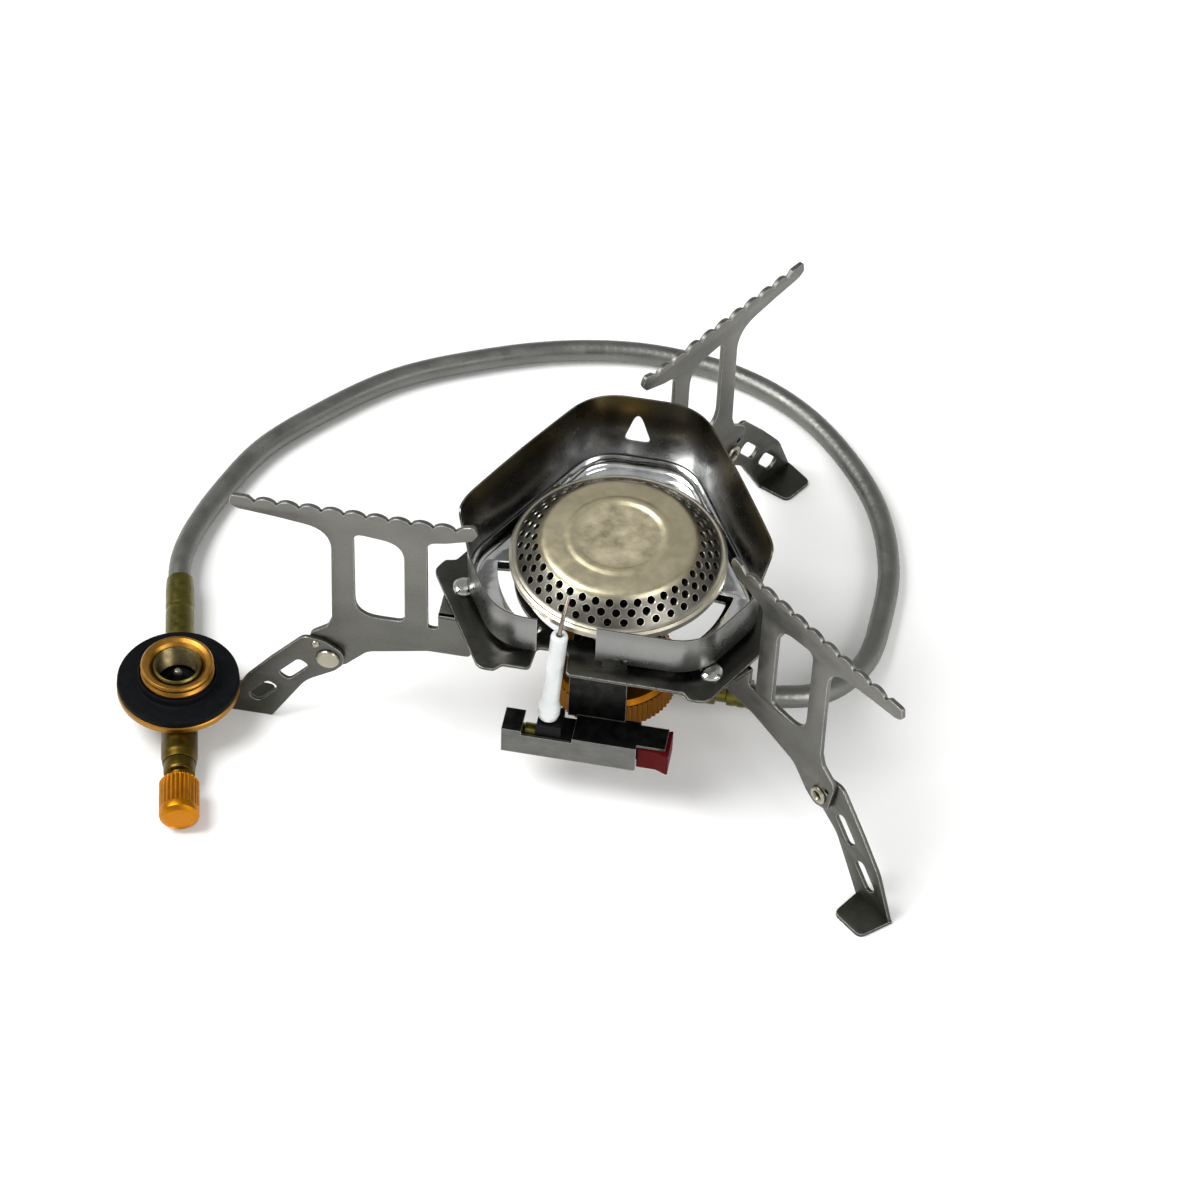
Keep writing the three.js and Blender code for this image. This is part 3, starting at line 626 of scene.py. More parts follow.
STEEL = leg_steel()
PLATE_STEEL = metal("plate_steel", (0.075, 0.074, 0.066), 0.32, 0.12, 9.0, 0.4, (1, 1, 1), 0.008, 16.0, 0.45)
CHANNEL_STEEL = channel_steel()
RIVET_STEEL = metal("rivet_steel", (0.36, 0.34, 0.27), 0.3, 0.15, 1.8)
BRIGHT_STEEL = metal("bright_steel", (0.62, 0.62, 0.6), 0.14, 0.15, 1.3)
NICKEL = burner_nickel()
SHIELD = shield_steel()
MIRROR = mirror_steel()
GOLD = metal("gold_anodised", (0.36, 0.175, 0.03), 0.36, 0.12, 1.6, 0.3, (1, 1, 1), 0.008)
GOLD_KNURL = metal("gold_knurled", (0.5, 0.19, 0.008), 0.42, 0.12, 1.6, 0.3, (1, 1, 1), 0.008)
BRASS = metal("old_brass", (0.125, 0.108, 0.024), 0.34, 0.25, 2.2, 0.4, (1, 1, 1), 0.01, 4.0)
ARM_BRASS = metal("arm_brass", (0.098, 0.068, 0.011), 0.38, 0.25, 2.2, 0.4, (1, 1, 1), 0.01, 4.0)
THREAD_BRASS = metal("thread_brass", (0.13, 0.103, 0.05), 0.36, 0.2, 1.6, 0.4, (1, 1, 1), 0.01, 4.0)
BRAID = metal("steel_braid", (0.21, 0.21, 0.196), 0.44, 0.12, 1.5, 0.3, (1, 1, 1), 0.02, 12.0)
WIRE = metal("electrode_steel", (0.28, 0.23, 0.2), 0.35, 0.2, 1.5)
RUBBER = dull("black_rubber", (0.0035, 0.004, 0.0045), 0.6, 0.35, 0.02, specular=0.05)
CERAMIC = dull("white_ceramic", (0.6, 0.63, 0.63), 0.2, 0.03, 0.008, 0.8, 1.2)
BLACK = dull("black_plastic", (0.004, 0.004, 0.004), 0.45, 0.3, 0.02, specular=0.08)
# painted shade: a darker copy of the gold anodising, for the knurled wheel that sits in shade under the burner
SHADED_WHEEL_GOLD = metal("wheel_gold", (0.2, 0.075, 0.004), 0.4, 0.12, 1.8, 0.3, (1, 1, 1), 0.008)
RED = dull("red_plastic", (0.075, 0.003, 0.004), 0.45, 0.2, 0.01, specular=0.04)


# ---- burner ---------------------------------------------------------------------------------

def burner_cap():
    """A pressed cap: rolled rim, cone with three staggered rows of flame ports, ringed plateau."""
    top = high_z("burner_cap") - 0.5
    rim_top = low_z("burner_cap") + 2.6
    rim, wall, cone, plateau = 30.0, 0.8, 28.2, 20.8
    outside = [(rim - wall, rim_top - 2.6), (rim, rim_top - 2.2), (rim, rim_top - 0.5), (rim - 0.7, rim_top)]
    outside += [(cone + 0.6, rim_top - 0.1), (cone, rim_top + 0.15)]
    steps = 14
    for i in range(1, steps):
        share = i / steps
        crown = 0.35 * math.sin(math.pi * share)
        outside.append((cone + (plateau + 0.8 - cone) * share, rim_top + 0.15 + (top - 1.0 - rim_top) * share + crown))
    outside += [(plateau + 0.8, top - 0.55), (plateau, top - 0.2), (plateau - 1, top), (15.4, top), (14.7, top + 0.1),
                (14.0, top + 0.45), (13.2, top + 0.5), (12.4, top + 0.35), (11.8, top - 0.1), (11, top - 0.2),
                (8, top - 0.15), (4, top - 0.08), (0, top - 0.05)]
    inside = [(0, top - 1), (11.5, top - 1), (plateau - 1, top - wall), (cone - 0.9, rim_top - 0.7),
              (rim - wall, rim_top - 0.7)]
    cap_profile = outside + inside
    vertices, faces = lathe_mesh(cap_profile + [cap_profile[0]], 228, False)
    cap = make("burner_cap_fine", vertices, faces, BURNER_FRAME, ROOT, NICKEL, ["burner_cap"], 30)
    slope = math.atan2(top - 1 - rim_top, cone - plateau - 0.8)
    drill = [(0, -3), (1.12, -3), (1.12, 0.1), (1.42, 0.42), (1.5, 1.4), (0, 1.4)]
    rows, holes = 3, 38
    drills = []
    for row in range(rows):
        share = (row + 0.72) / (rows + 0.42)
        radius = cone + (plateau + 0.8 - cone) * share
        height = rim_top + 0.15 + (top - 1.0 - rim_top) * share
        for k in range(holes):
            angle = 2 * math.pi * (k + row / 2) / holes
            tilt = Matrix.Rotation(math.pi / 2 - slope, 4, "Y")
            turn = Matrix.Rotation(angle, 4, "Z")
            place = Matrix.Translation(BURNER) @ turn @ Matrix.Translation((radius, 0, height)) @ tilt
            drills.append(cutter(drill, place, 12))
    return cut(cap, [joined(drills)], 32)


def burner_under():
    """The cup, mixer tube and gold housing below the cap."""
    z0, z1 = low_z("burner_cup"), high_z("burner_cup")
    outside = [(9, z0), (9.4, z0 + 6), (9.4, z0 + 9.8), (14, z0 + 10.2), (22, z0 + 11.4), (26.5, z0 + 12.8), (28.8, z1)]
    inside = [(28, z1), (25.6, z1 - 1.8), (13.8, z0 + 11), (7.4, z0 + 10.2), (7.4, z0)]
    turned("burner_cup_fine", outside + inside, BURNER_FRAME, ROOT, PLATE_STEEL, ["burner_cup"], 0.6)

    t0, t1 = low_z("mixer_tube"), high_z("mixer_tube")
    tube_wall = [(5.6, t0), (7.2, t0), (7.2, t0 + 4), (7.5, t0 + 4.4), (7.5, t0 + 5.2), (7.2, t0 + 5.6), (7.2, t1), (5.6, t1)]
    mixer = turned("mixer_tube_fine", tube_wall, BURNER_FRAME, ROOT, PLATE_STEEL, ["mixer_tube"], 0.15)
    ports = []
    for k in range(2):
        turn = Matrix.Rotation(math.radians(45 + 90 * k), 4, "Z") @ Matrix.Rotation(math.pi / 2, 4, "X")
        place = Matrix.Translation(BURNER + UP * (t0 + 9.6)) @ turn
        ports.append(cutter([(0, -12), (2.4, -12), (2.4, 12), (0, 12)], place, 32))
    cut(mixer, ports)

    h0, h1 = low_z("base_housing"), high_z("base_housing")
    teeth, depth = 72, 0.45

    def knurl(angle, radius, z):
        if radius < 18 or z < h0 + 1 or z > h1 - 1:
            return radius
        phase = angle * teeth / (2 * math.pi) % 1
        return radius - depth * abs(2 * phase - 1)

    edge = 1.2
    wheel = [(0, h0), (16.6, h0), (17.8, h0 + edge), (18.4, h0 + edge + 0.1), (18.4, h1 - edge - 0.1), (17.8, h1 - edge),
             (16.6, h1), (9.6, h1), (8.4, h1 - 0.8), (8.3, h0 + 2.2), (0, h0 + 2.2)]
    housing = turned("base_housing_fine", wheel, BURNER_FRAME, ROOT, SHADED_WHEEL_GOLD, ["base_housing"], 0,
                     teeth * 4, knurl, 20)
    cut(housing, [cutter([(0, 7), (3.7, 7), (3.7, 21), (0, 21)], INLET_FRAME, 32)], 20)

    pipe = [(2, 8.2), (3.5, 8.2), (3.5, 23), (3.5, 24.6), (4.5, 25), (4.6, 25.6), (4.6, 29.2), (4.5, 29.8),
            (3.5, 30.2), (3.5, SLEEVE - 0.2), (2, SLEEVE - 0.2)]
    turned("inlet_tube_fine", pipe, INLET_FRAME, ROOT, BRASS, ["inlet_tube"], 0.15, 48)
    crimps = [(3.55, 0), (4.15, 0), (4.2, 0.6), (4.2, 1.8), (4.0, 2.2), (4.0, 2.8), (4.2, 3.2), (4.2, 4.8),
              (4.0, 5.2), (4.0, 5.6), (4.2, 6), (4.1, 6.8), (3.55, 6.8)]
    sleeve = INLET_FRAME @ Matrix.Translation((0, 0, SLEEVE))
    turned("hose_ferrule_fine", crimps, sleeve, ROOT, BRASS, ["hose_ferrule"], 0.1, 48)


# ---- reflector and base plate ---------------------------------------------------------------

FRONT = -98.2
AIR = ((201.8, 28.5, 34), (-38.2, 24, 31), (81.8, 24, 31))  # corner and radii of its opening
CRESCENT = (212, 21, 26.2, 36)  # the opening along the cap: middle, radii and half angle
NOTCH = ((-17.5, -60), (-16.9, -29.6), (-8.2, -29.6), (-7.6, -60))


def frame_points(side, corner, radius, steps=10):
    """The cut-corner triangle round the burner as a dense closed outline."""
    corners = []
    half = (corner - side * 0.5) / math.sin(math.radians(60))
    for k in range(3):
        normal = math.radians(FRONT + 120 * k)
        for along in (-half, half):
            angle = normal + math.atan2(along, side)
            reach = math.hypot(side, along)
            corners.append((reach * math.cos(angle), reach * math.sin(angle), radius))
    return rounded(corners, steps)


def circle(x, y, radius, count):
    return [(x + radius * math.cos(2 * math.pi * k / count), y + radius * math.sin(2 * math.pi * k / count))
            for k in range(count)]


def kidney(centre, inner, outer, half=24):
    """A kidney-shaped opening between two radii, with rounded ends."""
    steps = 16
    bow = [math.radians(centre - half + 2 * half * i / steps) for i in range(steps + 1)]
    points = [(outer * math.cos(a), outer * math.sin(a), 0) for a in bow]
    points += [(inner * math.cos(a), inner * math.sin(a), 0) for a in reversed(bow)]
    for i in (0, steps, steps + 1, 2 * steps + 1):
        points[i] = (*points[i][:2], 1.4)
    return rounded(points, 4)


def loft(name, rings, place, body, material, thickness):
    """A thin skin through closed rings of points, one above the other."""
    count = len(rings[0])
    vertices = [point for ring in rings for point in ring]
    faces = []
    for level in range(len(rings) - 1):
        for i in range(count):
            n = (i + 1) % count
            low, high = level * count, (level + 1) * count
            faces.append([low + i, low + n, high + n, high + i])
    skin = make(name, vertices, faces, place, body, material, (), 60)
    modifier = skin.modifiers.new("sheet", "SOLIDIFY")
    modifier.thickness = thickness * MM
    modifier.offset = 0
    apply_modifiers(skin)
    return skin


def reflector():
    """The mirror sheet that fills the shield: a flat floor with openings and an upturned edge."""
    low, high = low_z("reflector_dish"), high_z("reflector_dish")
    side, corner, bend = 31.6, 39.7, 15
    outlines = [frame_points(side, corner, bend), circle(0, 0, 9.9, 64)]
    outlines += [kidney(corner_angle, 25.5, 33) for corner_angle, *_ in AIR]
    place = Matrix.Translation(BURNER + UP * (low + high) / 2)
    dish = plate("reflector_dish_fine", outlines, high - low, place, ROOT, MIRROR,
                 ["reflector_dish"], 0.1)
    levels = ((1.6, 0.1), (1.1, 0.35), (0.7, 0.8), (0.35, 1.5), (0.1, 2.4), (0.0, 3.4))
    rings = []
    for inset, rise in levels:
        ring = frame_points(side + 0.2 - inset, corner + 0.2 - inset, bend)
        rings.append([(p.x, p.y, high + rise) for p in ring])
    edge = loft("reflector_edge", rings, BURNER_FRAME, ROOT, MIRROR, 0.25)
    gap = Matrix.Translation(BURNER) @ Matrix.Rotation(math.radians(FRONT + 90), 4, "Z")
    crescent = [(p.x, p.y) for p in kidney(*CRESCENT)]
    cut(dish, [box_cutter((-17.3, -60, low - 1), (0.5, -20.4, high + 1), gap),
               prism(crescent, -low + 1, -high - 1, BURNER_FRAME)], 30)
    cut(edge, [box_cutter((-17.5, -60, low - 1), (0.5, -20, high + 9), gap)], 60)


def base_plate():
    z = (low_z("base_plate") + high_z("base_plate")) / 2
    side, corner, shoulder = 37.5, 47.0, 39.7
    end = (corner - shoulder * 0.5) / math.sin(math.radians(60))
    corners = []
    for k in range(3):
        for out, along, radius in ((shoulder, -end, 7), (shoulder, -27, 1.5), (side, -25, 1.5),
                                   (side, 24.5, 1.5), (shoulder, 26.5, 1.5), (shoulder, end, 7)):
            angle = math.radians(FRONT + 120 * k) + math.atan2(along, out)
            reach = math.hypot(out, along)
            corners.append((reach * math.cos(angle), reach * math.sin(angle), radius))
    turn = Matrix.Rotation(math.radians(FRONT + 90), 2)
    notch = [turn @ Vector((x, max(y, -side))) for x, y in NOTCH]
    at = 3
    rim = corners[:at] + [(p.x, p.y, 1.6) for p in notch] + corners[at:]
    outlines = [rounded(rim, 8), circle(0, 0, 9.6, 64), kidney(*CRESCENT)]
    outlines += [kidney(*opening) for opening in AIR]
    for name in LEG_NAMES:
        pivot = Vector(JOINTS["leg_swing_" + name]["pos_m"]) / MM - BURNER
        outlines.append(circle(pivot.x, pivot.y, 2.0, 24))
    place = Matrix.Translation(BURNER + UP * z)
    plate("base_plate_fine", outlines, 1.0, place, ROOT, PLATE_STEEL, ["base_plate"], 0.2)


# ---- wind shield ----------------------------------------------------------------------------

def wind_shield():
    """One strip: low at the front with a gap for the electrode, tall and flared round the back."""
    z0 = low_z("wind_shield") + 2.1
    low, high = z0 + 12.4, high_z("wind_shield")
    ring = frame_points(32.7, 40.8, 16)
    ring.append(ring[0])
    dense = []
    for a, b in zip(ring, ring[1:]):
        pieces = max(1, round((b - a).length / 0.8))
        dense += [a.lerp(b, i / pieces) for i in range(pieces)]
    angles = [(math.degrees(math.atan2(p.y, p.x)) - 260.5) % 360 for p in dense]
    order = sorted(range(len(dense)), key=lambda i: angles[i])
    strip = [(angles[i] + 260.5, dense[i]) for i in order if angles[i] <= 236 + 360 - 260.5]
    start, end, blend = 340.0, 547.0, 7.0
    levels = 12

    def top_of(angle):
        """The top edge: low, then rising to the tall back with a rounded shoulder."""
        inside = min(angle - start, end - angle)
        if inside < 0:
            return low
        return low + (high - low) * (1 - (1 - min(1, inside / blend)) ** 3) ** 0.5 if inside < blend else high

    vertices, faces = [], []
    for angle, point in strip:
        top = top_of(angle)
        for k in range(levels + 1):
            z = z0 + (top - z0) * k / levels
            rise = max(0.0, z - low + 4) / (high - low + 4)
            flare = 3 * rise ** 1.5 if top > low else 0.0
            scale = 1 + flare / point.length
            vertices.append((point.x * scale, point.y * scale, z))
    for i in range(len(strip) - 1):
        for k in range(levels):
            a = i * (levels + 1) + k
            b = a + levels + 1
            faces.append([a, b, b + 1, a + 1])
    shield = make("wind_shield_fine", vertices, faces, BURNER_FRAME, ROOT, SHIELD, ["wind_shield"], 50)
    for polygon in shield.data.polygons:
        outward = polygon.center - BURNER * MM
        if polygon.normal.x * outward.x + polygon.normal.y * outward.y < 0:
            polygon.flip()
    modifier = shield.modifiers.new("sheet", "SOLIDIFY")
    modifier.thickness = 0.5 * MM
    modifier.offset = -1
    apply_modifiers(shield)
    vent = rounded([(-0.1, 64.8, 1.6), (7.9, 64.8, 1.6), (3.9, 75.9, 1.8)])
    hole = prism([(p.x, p.y) for p in vent], 20, 60, BURNER_FRAME @ Matrix.Rotation(math.pi / 2, 4, "X"))
    cut(shield, [hole], 40)
    for k in range(3):
        turn = Matrix.Rotation(math.radians(-8.2 + 120 * k), 4, "Z")
        foot = [[(1.6, -1.2), (8.4, -1.2), (8.4, 2.6), (1.6, 2.6)]]
        stand = Matrix.Rotation(math.pi / 2, 4, "X")
        place = Matrix.Translation(BURNER) @ turn @ Matrix.Translation((0, -32.45, low_z("wind_shield") + 1.2)) @ stand
        plate("wind_shield_foot_%d" % k, foot, 0.5, place, ROOT, SHIELD, bevel=0.1)


# ---- legs -----------------------------------------------------------------------------------

BAR_TOP = 87.4


def leg_outline():
    pitch, depth, teeth, teeth_end = 6.1, 1.7, 9, 55.4
    valley = BAR_TOP - depth
    crests = []
    samples = 12
    for i in range(teeth * samples + 1):
        rise = abs(math.sin(math.pi * i / samples)) ** 0.62
        crests.append((teeth_end - pitch * i / samples, valley + depth * rise))
    hinge_x, hinge_z = 36.0, 28.5
    below = [(-4, 51.3, 0), (-4, 36, 1.5), (8, 36, 8), (25, 32, 5), (hinge_x - 5, hinge_z - 3, 3),
             (hinge_x - 1.5, hinge_z - 5.2, 3), (hinge_x + 3.6, hinge_z - 3.6, 3), (hinge_x + 5.6, hinge_z + 7.5, 3.5),
             (36.2, 40.2, 3), (34.9, 44, 3), (34.5, 79.2, 10), (50, 81.5, 4), (60, 82.6, 4), (62.4, 84, 1.6),
             (61.8, BAR_TOP, 1.0), (57, BAR_TOP, 1.2)]
    above = [(-1.6, 87.6, 1.2), (-4.6, 88.4, 1.4), (-5.6, 85.6, 1.6), (-4.2, 83, 1.4), (3, 80.6, 3),
             (8.2, 79.6, 3), (8, 45.5, 1.2), (5.2, 45.5, 1.2), (5.2, 51.3, 0)]
    corners = below + [(x, z, 0) for x, z in crests] + above
    return rounded(corners, 8)


def leg(name):
    place = leg_frame(name)
    body, foot = "leg_" + name, "foot_" + name
    stand = Matrix.Rotation(math.pi / 2, 4, "X")
    sheet = place @ Matrix.Translation((0, 10, 0)) @ stand
    window = rounded([(14.5, 46.5, 2.4), (28.3, 46.5, 7), (28.3, 79.2, 2.4), (14.5, 77.6, 7)], 8)
    outlines = [leg_outline(), window, circle(36, 28.5, 2.0, 24), circle(38.6, 31.9, 0.9, 16)]
    plate("leg_plate_%s_fine" % name, outlines, 1.4, sheet, body, STEEL,
          ["leg_plate_" + name], 0.22)
    tab = rounded([(-4, 10.7, 0), (-4, 0, 4), (-3, -4.4, 4), (3, -4.4, 4), (5.2, 0, 4), (5.2, 10.7, 0)], 8)
    plate("leg_tab_" + name, [tab, circle(0, 0, 2.1, 24)], 1.2, place @ Matrix.Translation((0, 0, 50.7)), body,
          STEEL)

    strut = [(31.6, 26.5, 4), (34, 23.5, 3), (42.5, 17.6, 12), (52.6, 0.1, 0), (66.2, 0.1, 0.6), (60, 15, 16),
             (52.5, 24.7, 12), (42.8, 36.1, 3.4), (37, 35.1, 4), (31.6, 31.1, 4)]
    tilt = math.radians(-50)
    holes = []
    for x, z in ((45.9, 21.4), (55, 10.2)):
        slot = [(x + u * math.cos(tilt) - v * math.sin(tilt), z + u * math.sin(tilt) + v * math.cos(tilt), 1.7)
                for u, v in ((-4.8, -2), (4.8, -2), (4.8, 2), (-4.8, 2))]
        holes.append(rounded(slot, 8))
    across = 10 + 0.7 + 0.15 + 0.6
    foot_sheet = place @ Matrix.Translation((0, across, 0)) @ stand
    plate("foot_strut_%s_fine" % name, [rounded(strut, 8)] + holes + [circle(36, 28.5, 2.0, 24)], 1.2, foot_sheet,
          foot, STEEL, ["foot_strut_" + name], 0.2)
    pad = rounded([(52.6, across + 0.5, 0), (66.2, across + 0.5, 0), (64.6, 1.4, 2.4), (54, 1.4, 2.4)], 8)
    plate("foot_pad_" + name, [pad], 1.2, place @ Matrix.Translation((0, 0, 0.6)), foot, STEEL)

    hinge = place @ Matrix.Translation((36, 0, 28.5)) @ stand
    outer = 10 + 0.7 + 1.2 + 0.3
    rivet = [(0, -outer - 1), (2.4, -outer - 1), (3.1, -outer - 0.8), (3.3, -outer - 0.4), (3.3, -outer),
             (1.8, -outer), (1.8, -9.2), (2.8, -9.2), (2.75, -8.7), (2.2, -8.3), (1.6, -8.5), (1.35, -9.2),
             (1.3, -outer + 0.4), (0, -outer + 0.4)]
    turned("foot_rivet_%s_fine" % name, rivet, hinge, body, RIVET_STEEL, ["foot_rivet_" + name], 0.1, 48)
    bead = [(0, -12.9), (0.6, -12.8), (1.1, -12.5), (1.25, -12.1), (1.25, -11.6), (0, -11.6)]
    spot = place @ Matrix.Translation((39.4, 0, 33.6)) @ stand
    turned("foot_detent_" + name, bead, spot, foot, RIVET_STEEL, (), 0.1, 32)

    dome = [(0, 49.2), (2.6, 49.2), (3, 49.6), (3, 50), (1.8, 50), (1.8, 52.5), (3.3, 52.5), (3.3, 52.8), (3.0, 53.4),
            (2.3, 53.9), (1.3, 54.15), (0, 54.2)]
    turned("pivot_rivet_%s_fine" % name, dome, place, ROOT, BRIGHT_STEEL,
           ["pivot_rivet_" + name], 0.08, 48)


# ---- hose -----------------------------------------------------------------------------------

def hose():
    """The braided hose, laid along the middle of its CAD solid."""
    node = frame["nodes"]["hose"]
    points = np.array([v.co for v in node.data.vertices]) / MM
    start = INLET_FRAME.translation + INLET_FRAME.col[2].xyz * (SLEEVE + 0.8)
    centres = hose_centres(points, start)
    radius, strands = 3.25, 16
    depth = 0.055

    def weave(angle, along):
        turns = angle / (2 * math.pi) * strands
        pitch = along / 2.6
        over = abs(math.sin(math.pi * (turns / 2 + pitch)))
        under = abs(math.sin(math.pi * (turns / 2 - pitch)))
        return depth * (max(over, under) - 1)

    tube("hose_fine", centres, radius, Matrix.Identity(4), ROOT, BRAID, ["hose"], 1500, 56, weave)


def hose_centres(points, start):
    """Ring centres of the faceted hose, walked from one end to the other."""
    unique = np.unique(np.round(points, 3), axis=0)
    left = [Vector(p) for p in unique]
    rings = []
    here = start
    while len(left) >= 8:
        left.sort(key=lambda p: (p - here).length)
        near = left[:8]
        left = left[8:]
        here = sum(near, Vector()) / 8
        rings.append(here)
    return rings


# ---- canister valve -------------------------------------------------------------------------

def valve():
    flange_low, flange_high = low_z("valve_flange"), high_z("valve_flange")
    pad_high = high_z("flange_pad")
    collar_top = high_z("canister_collar")
    post = [(0, 1), (7.4, 1), (8.4, 1.8), (8.6, 3), (8.6, 10.2), (8.2, 11), (6.9, 11), (6.9, 20.9), (6.5, 21.4),
            (6.4, 21.4), (6.4, 12.5), (0, 12.5)]
    turned("valve_body_fine", post, VALVE_FRAME, ROOT, BRASS, ["valve_body"], 0.1)
    crest, root, pitch = 5.75, 6.15, 0.9
    thread = [(6.4, 12.5), (6.4, 21.3), (6.3, 21.4), (5.8, 20.9)]
    for turn in range(7):
        z = 20.4 - pitch * turn
        thread += [(root, z), (crest, z - pitch / 2)]
    thread.append((crest, 12.5))
    turned("valve_thread", thread, VALVE_FRAME, ROOT, THREAD_BRASS, (), 0)
    arm = [(0, -14), (4.9, -14), (5.1, 16), (5.1, 21.6), (4.9, 22.4), (4.7, 24), (0, 24)]
    turned("valve_arm", arm, KNOB_FRAME, ROOT, ARM_BRASS, (), 0.15)
    flange = [(7.1, flange_low), (16.6, flange_low), (17.3, flange_low + 0.7), (17.3, flange_high - 0.3),
              (17.0, flange_high), (7.1, flange_high)]
    turned("valve_flange_fine", flange, VALVE_FRAME, ROOT, GOLD, ["valve_flange"], 0.2, 128)
    face = pad_high - 2.4
    pad = [(10.6, flange_high), (17.1, flange_high), (17.1, face - 0.5), (16.7, face), (11.9, face),
           (11.4, face + 0.4), (11.2, pad_high - 0.3), (10.9, pad_high), (10.6, pad_high)]
    turned("flange_pad_fine", pad, VALVE_FRAME, ROOT, RUBBER, ["flange_pad"], 0.2, 128)
    collar = [(7.1, flange_high), (10.3, flange_high), (10.3, collar_top - 2.9), (9.9, collar_top - 2.5),
              (9.6, collar_top - 2.2), (9.6, collar_top - 1.7), (10.2, collar_top - 1.3), (10.2, collar_top - 0.5),
              (9.8, collar_top), (9.2, collar_top), (8.2, collar_top - 0.6), (7.1, collar_top - 1.6)]
    turned("canister_collar_fine", collar, VALVE_FRAME, ROOT, GOLD, ["canister_collar"], 0.15, 128)
    seal = low_z("seal_ring")
    turned("seal_ring_fine", [(2.6, seal), (5.3, seal), (5.3, seal + 1.4), (4.6, seal + 2.1), (3.3, seal + 2.1),
                              (2.6, seal + 1.4)], VALVE_FRAME, ROOT, RUBBER, ["seal_ring"], 0.3, 64)
    turned("valve_pin_fine", [(0, seal), (2.1, seal), (2.1, seal + 0.7), (1.3, seal + 1.1), (1.2, seal + 5.6),
                              (0.8, seal + 6.4), (0, seal + 6.5)], VALVE_FRAME, ROOT, RIVET_STEEL,
           ["valve_pin"], 0.2, 32)
    ferrule = [(3.55, -45), (3.8, -45), (3.9, -44.4), (4.1, -41), (4.1, -34), (4.0, -33.4), (4.0, -32.6), (4.1, -32),
               (4.1, -21), (3.9, -19.6), (3.6, -18), (3.6, -14.2), (1.9, -14.2), (1.9, -39), (3.55, -39)]
    turned("valve_ferrule_fine", ferrule, KNOB_FRAME, ROOT, BRASS, ["valve_ferrule"], 0.15, 64)
    nut = [(2.3, 24.2), (4.5, 24.2), (4.4, 27.2), (4.2, 27.9), (3.1, 28.3), (2.9, 29.4), (2.3, 29.4)]
    turned("packing_nut_fine", nut, KNOB_FRAME, ROOT, ARM_BRASS, ["packing_nut"], 0.12, 64)


def control_knob():
    """The fluted knob with its plain domed end."""
    flutes, depth = 26, 0.42
    first, last = 31.4, 40.6

    def fluted(angle, radius, z):
        if radius < 5.5 or z < first or z > last:
            return radius
        phase = angle * flutes / (2 * math.pi) % 1
        return radius - depth * (1 - abs(math.sin(math.pi * phase)) ** 0.8)

    grip = [(0, 30.2), (4.4, 30.2), (5.1, 30.7), (5.6, 31.3), (5.6, 31.5), (5.6, 36), (5.6, 40.5), (5.6, 40.7), (5.6, 42.1),
            (5.4, 42.7), (4.5, 43.5), (4.1, 43.7), (3.8, 43.8), (3.6, 43.6), (0, 43.6)]
    turned("control_knob_fine", grip, KNOB_FRAME, "control_knob", GOLD_KNURL, ["control_knob"], 0,
           flutes * 10, fluted, 28)
    shaft = [(0, 6), (1.6, 6), (1.6, 30), (0, 30)]
    turned("valve_spindle_fine", shaft, KNOB_FRAME, "control_knob", BRASS, ["valve_spindle"], 0.1, 32)


# ---- igniter --------------------------------------------------------------------------------

def igniter():
    lean = Matrix.Rotation(math.radians(4), 4, "Y")
    foot = IGNITER_FRAME @ Matrix.Translation((-12.7, -32.8, 28.2)) @ lean
    ceramic = [(0, 0), (2.2, 0), (2.8, 0.8), (3.1, 2.4), (3.1, 4.6), (2.7, 6.2), (2.45, 7.6), (2.4, 12), (2.4, 33.6), (2.2, 34.3),
               (1.7, 34.6), (1.0, 34.6), (0.9, 34.2), (0.9, 31), (0, 31)]
    turned("ceramic_insulator_fine", ceramic, foot, ROOT, CERAMIC, ["ceramic_insulator"], 0.15, 64)
    wire = [(-10.45, -32.8, 60), (-10.2, -32.8, 64), (-9.9, -31.4, 67), (-9.5, -29, 69.4), (-9.2, -26.5, 71)]
    tube("electrode_wire_fine", wire, 0.58, IGNITER_FRAME, ROOT, WIRE, ["electrode_wire"], 40, 16)
    cap = IGNITER_FRAME @ Matrix.Translation((0, -32.6, 20.3)) @ Matrix.Rotation(-math.pi / 2, 4, "Y")
    terminal = [(0, 15.7), (2.5, 15.7), (2.6, 16), (2.6, 19), (2.3, 19.3), (2.3, 20), (2.6, 20.3), (2.6, 23.2), (2.3, 23.6),
                (0, 23.6)]
    turned("igniter_terminal_fine", terminal, cap, ROOT, BRASS, ["igniter_terminal"], 0.1, 48)
    screw = [(0, 47.5), (1.4, 47.5), (1.4, 52.6), (2.9, 52.6), (2.9, 53), (2.3, 53.8), (0, 54.2)]
    place = IGNITER_FRAME @ Matrix.Translation((0, -22, 0))
    turned("igniter_screw_fine", screw, place, ROOT, RIVET_STEEL, ["igniter_screw"], 0.1, 48)


# ---- CAD nodes that stay --------------------------------------------------------------------

def keep(node, material, bevel=0.2):
    """A CAD node shown as it is, with its sharp edges rounded and its own material."""
    obj = frame["nodes"][node]
    obj.data.materials.clear()
    obj.data.materials.append(material)
    for polygon in obj.data.polygons:
        polygon.use_smooth = True
    weld = obj.modifiers.new("weld", "WELD")
    weld.merge_threshold = 0.002 * MM
    if bevel:
        edge = obj.modifiers.new("edge", "BEVEL")
        edge.width = bevel * MM
        edge.segments = 2
        edge.limit_method = "ANGLE"
        edge.angle_limit = math.radians(40)
        edge.harden_normals = False
    obj.modifiers.new("normals", "WEIGHTED_NORMAL").keep_sharp = True


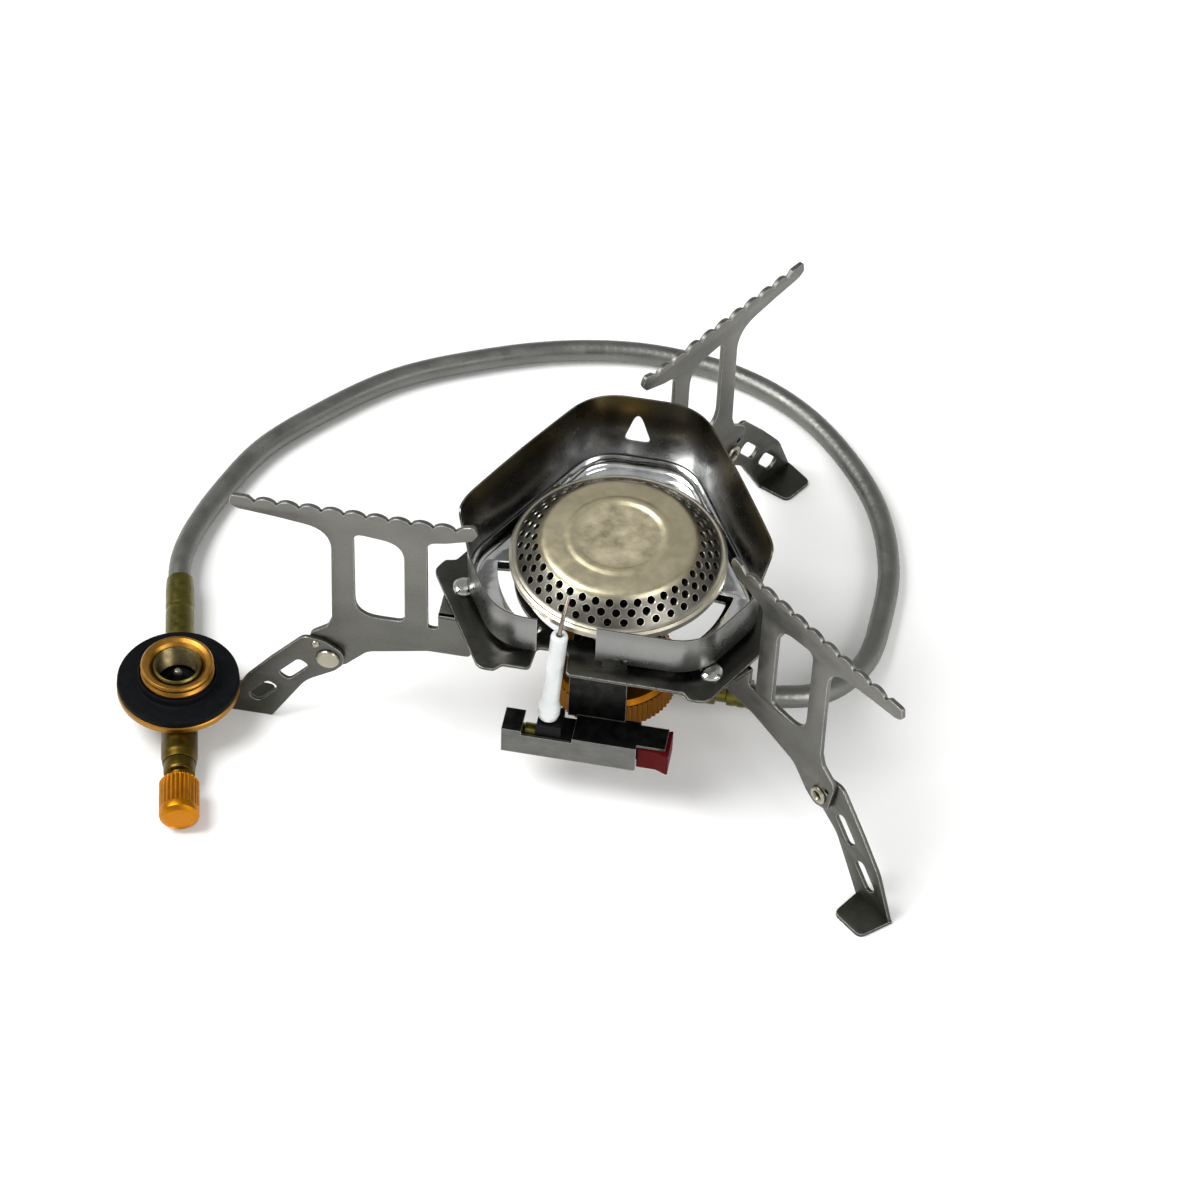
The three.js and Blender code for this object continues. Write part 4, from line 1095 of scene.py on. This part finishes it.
KEPT = {
    "igniter_bracket": ("sheet_steel", CHANNEL_STEEL, 0.15),
    "igniter_body": ("black_plastic", BLACK, 0.3),
    "igniter_button": ("red_plastic", RED, 0.35),
    "dish_spacer": ("sheet_steel", PLATE_STEEL, 0),
    "flame_gauze": ("sheet_steel", PLATE_STEEL, 0),
    "gas_block": ("old_brass", BRASS, 0),
    "jet_nozzle": ("old_brass", BRASS, 0),
}

burner_cap()
burner_under()
reflector()
wind_shield()
base_plate()
for leg_name in LEG_NAMES:
    leg(leg_name)
hose()
valve()
control_knob()
igniter()
for kept_node, (kept_slot, kept_material, kept_bevel) in KEPT.items():
    keep(kept_node, kept_material, kept_bevel)


# ---- stage, lights and camera ---------------------------------------------------------------

def floor():
    mesh = bpy.data.meshes.new("floor")
    reach = 6.0
    corners = [(-reach, -reach, 0), (reach, -reach, 0), (reach, reach, 0), (-reach, reach, 0)]
    mesh.from_pydata(corners, [], [[0, 1, 2, 3]])
    obj = bpy.data.objects.new("floor", mesh)
    bpy.context.scene.collection.objects.link(obj)
    paint = Paint("floor_paint")
    paint.set("color", (0.93, 0.93, 0.92))
    paint.set("roughness", 0.9)
    paint.set("specular", 0.1)
    mesh.materials.append(paint.material)


def area_light(name, place, target, size, power, size_y=None):
    data = bpy.data.lights.new(name, "AREA")
    data.energy = power
    data.shape = "RECTANGLE"
    data.size = size
    data.size_y = size_y or size
    obj = bpy.data.objects.new(name, data)
    obj.location = place
    obj.rotation_euler = (Vector(target) - Vector(place)).to_track_quat("-Z", "Y").to_euler()
    bpy.context.scene.collection.objects.link(obj)


def world():
    """A soft studio: pale overhead, darker towards the horizon, so polished metal has contrast."""
    scene_world = bpy.data.worlds.new("studio")
    bpy.context.scene.world = scene_world
    scene_world.use_nodes = True
    tree = scene_world.node_tree
    background = tree.nodes["Background"]
    coordinate = tree.nodes.new("ShaderNodeTexCoord")
    split = tree.nodes.new("ShaderNodeSeparateXYZ")
    ramp = tree.nodes.new("ShaderNodeValToRGB")
    tree.links.new(coordinate.outputs["Generated"], split.inputs[0])
    tree.links.new(split.outputs["Z"], ramp.inputs["Fac"])
    tree.links.new(ramp.outputs[0], background.inputs["Color"])
    stops = [(0.0, 0.95), (0.3, 0.6), (0.6, 0.46), (0.85, 0.46)]
    elements = ramp.color_ramp.elements
    while len(elements) < len(stops):
        elements.new(0.5)
    for element, (position, level) in zip(elements, stops):
        element.position = position
        element.color = (level, level, level * 0.99, 1)
    background.inputs["Strength"].default_value = 0.9


def camera():
    """The photograph's viewing angle, found from the burner's rim and the legs."""
    elevation, roll, distance = math.radians(48.06), math.radians(2.64), 1.1164
    target = (BURNER + Vector((-4.49, 2.58, 40))) * MM
    forward = Vector((0, math.cos(elevation), -math.sin(elevation)))
    right = Vector((1, 0, 0))
    up = Vector((0, math.sin(elevation), math.cos(elevation)))
    turned_right = right * math.cos(roll) + up * math.sin(roll)
    turned_up = up * math.cos(roll) - right * math.sin(roll)
    data = bpy.data.cameras.new("camera")
    data.lens = 120.5
    data.sensor_width = 36
    obj = bpy.data.objects.new("camera", data)
    columns = (turned_right, turned_up, -forward)
    place = target - forward * distance
    rows = [[column[i] for column in columns] + [place[i]] for i in range(3)]
    obj.matrix_world = Matrix(rows + [[0, 0, 0, 1]])
    bpy.context.scene.collection.objects.link(obj)
    bpy.context.scene.camera = obj


floor()
world()
centre = BURNER * MM
area_light("key", centre + Vector((-0.7, -0.1, 1.0)), centre, 0.7, 15)
area_light("fill", centre + Vector((0.8, -0.7, 0.7)), centre, 0.7, 9)
camera()
bpy.context.scene.view_settings.view_transform = "Standard"
